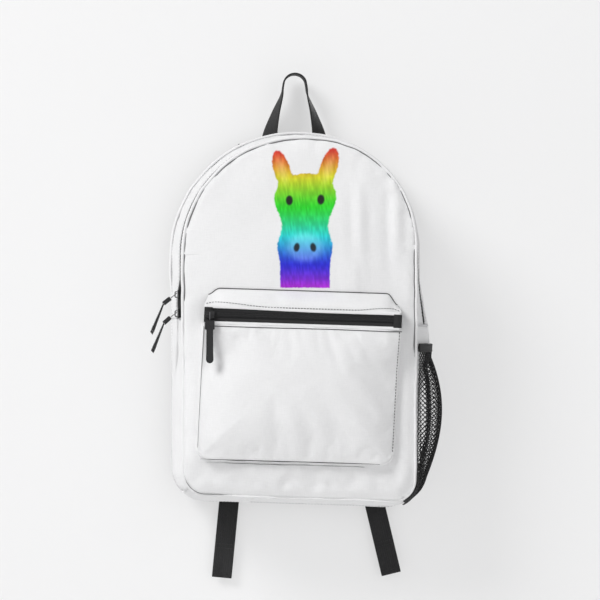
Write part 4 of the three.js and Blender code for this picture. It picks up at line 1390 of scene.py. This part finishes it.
def stage_material(name, colour, one_sided=False):
    paint = Shader(name, colour, 0.95)
    grain = paint.texture(3, 2)
    paint.colour(paint.mix(grain, tuple(c * 0.985 for c in colour), colour))
    if one_sided:
        output = paint.tree.nodes["Material Output"]
        clear = paint.node("BsdfTransparent")
        behind = paint.node("NewGeometry").outputs["Backfacing"]
        paint.base.inputs["Emission Color"].default_value = (1, 1, 1, 1)
        paint.base.inputs["Emission Strength"].default_value = 0.52
        pick = paint.node("MixShader")
        paint.link(behind, pick.inputs[0])
        paint.link(paint.base.outputs[0], pick.inputs[1])
        paint.link(clear.outputs[0], pick.inputs[2])
        paint.link(pick.outputs[0], output.inputs["Surface"])
    return paint.material


def add_stage():
    floor_z, wall_y, wall_top, reach = -1.0, 22 * MM, 2.2, 5.0
    floor_grid = np.array([[(-reach, -reach, floor_z), (-reach, reach, floor_z)],
                           [(reach, -reach, floor_z), (reach, reach, floor_z)]])
    floor = mesh_object("studio_floor", floor_grid, [(0, 2, 3, 1)])
    floor.data.materials.append(stage_material("floor_paint", (0.8, 0.8, 0.8)))
    corners = [(-reach, wall_y, floor_z), (reach, wall_y, floor_z),
               (reach, wall_y, wall_top), (-reach, wall_y, wall_top)]
    backdrop = mesh_object("studio_wall", corners, [(0, 1, 2, 3)])
    backdrop.data.materials.append(stage_material("wall_paint", (0.36, 0.36, 0.362), True))
    for flag in ("visible_diffuse", "visible_glossy", "visible_transmission", "visible_shadow"):
        setattr(backdrop, flag, False)


def area_light(name, place, aim, size, power, colour=(1, 1, 1)):
    lamp = bpy.data.lights.new(name, "AREA")
    lamp.shape, lamp.size, lamp.energy, lamp.color = "DISK", size, power, colour
    obj = bpy.data.objects.new(name, lamp)
    obj.location = place
    obj.rotation_euler = (Vector(aim) - Vector(place)).to_track_quat("-Z", "Y").to_euler()
    bpy.context.scene.collection.objects.link(obj)


def add_lights():
    aim = (0, -0.06, -0.28)
    area_light("key", (-2.2, -2.2, 1.9), aim, 1.6, 90)
    area_light("fill", (1.6, -3.0, 0.4), aim, 2.4, 13)
    area_light("back_fill", (0.8, 2.6, 1.2), aim, 2.2, 55)
    area_light("side_fill", (-2.4, 1.8, 0.3), aim, 1.8, 14)
    world = bpy.data.worlds.new("studio")
    world.use_nodes = True
    world.node_tree.nodes["Background"].inputs[0].default_value = (0.99, 0.99, 1.0, 1)
    world.node_tree.nodes["Background"].inputs[1].default_value = 0.44
    bpy.context.scene.world = world
    bpy.context.scene.view_settings.view_transform = "Standard"


def add_camera():
    azimuth, elevation, distance = math.radians(-2.7), math.radians(-0.5), 3.0
    target = Vector((3.2 * MM, -60 * MM, -255.7 * MM))
    back = Vector((math.sin(azimuth) * math.cos(elevation), -math.cos(azimuth) * math.cos(elevation),
                   math.sin(elevation)))
    camera = bpy.data.cameras.new("camera")
    camera.lens, camera.sensor_width = 162, 36
    obj = bpy.data.objects.new("camera", camera)
    obj.location = target + back * distance
    obj.rotation_euler = (-back).to_track_quat("-Z", "Y").to_euler()
    bpy.context.scene.collection.objects.link(obj)
    bpy.context.scene.camera = obj


add_camera()
add_lights()
add_stage()
add_front_panel()
add_body()
add_main_zip()
add_runners()
add_pocket()
add_side_pocket()
add_haul_loop()
add_yoke()
for strap_side in SIDES:
    add_strap_pad(strap_side)
    add_strap_root(strap_side)
    add_buckle(strap_side)
    add_lower_webbing(strap_side)
    add_tail(strap_side)
add_back()
add_inner_layers()
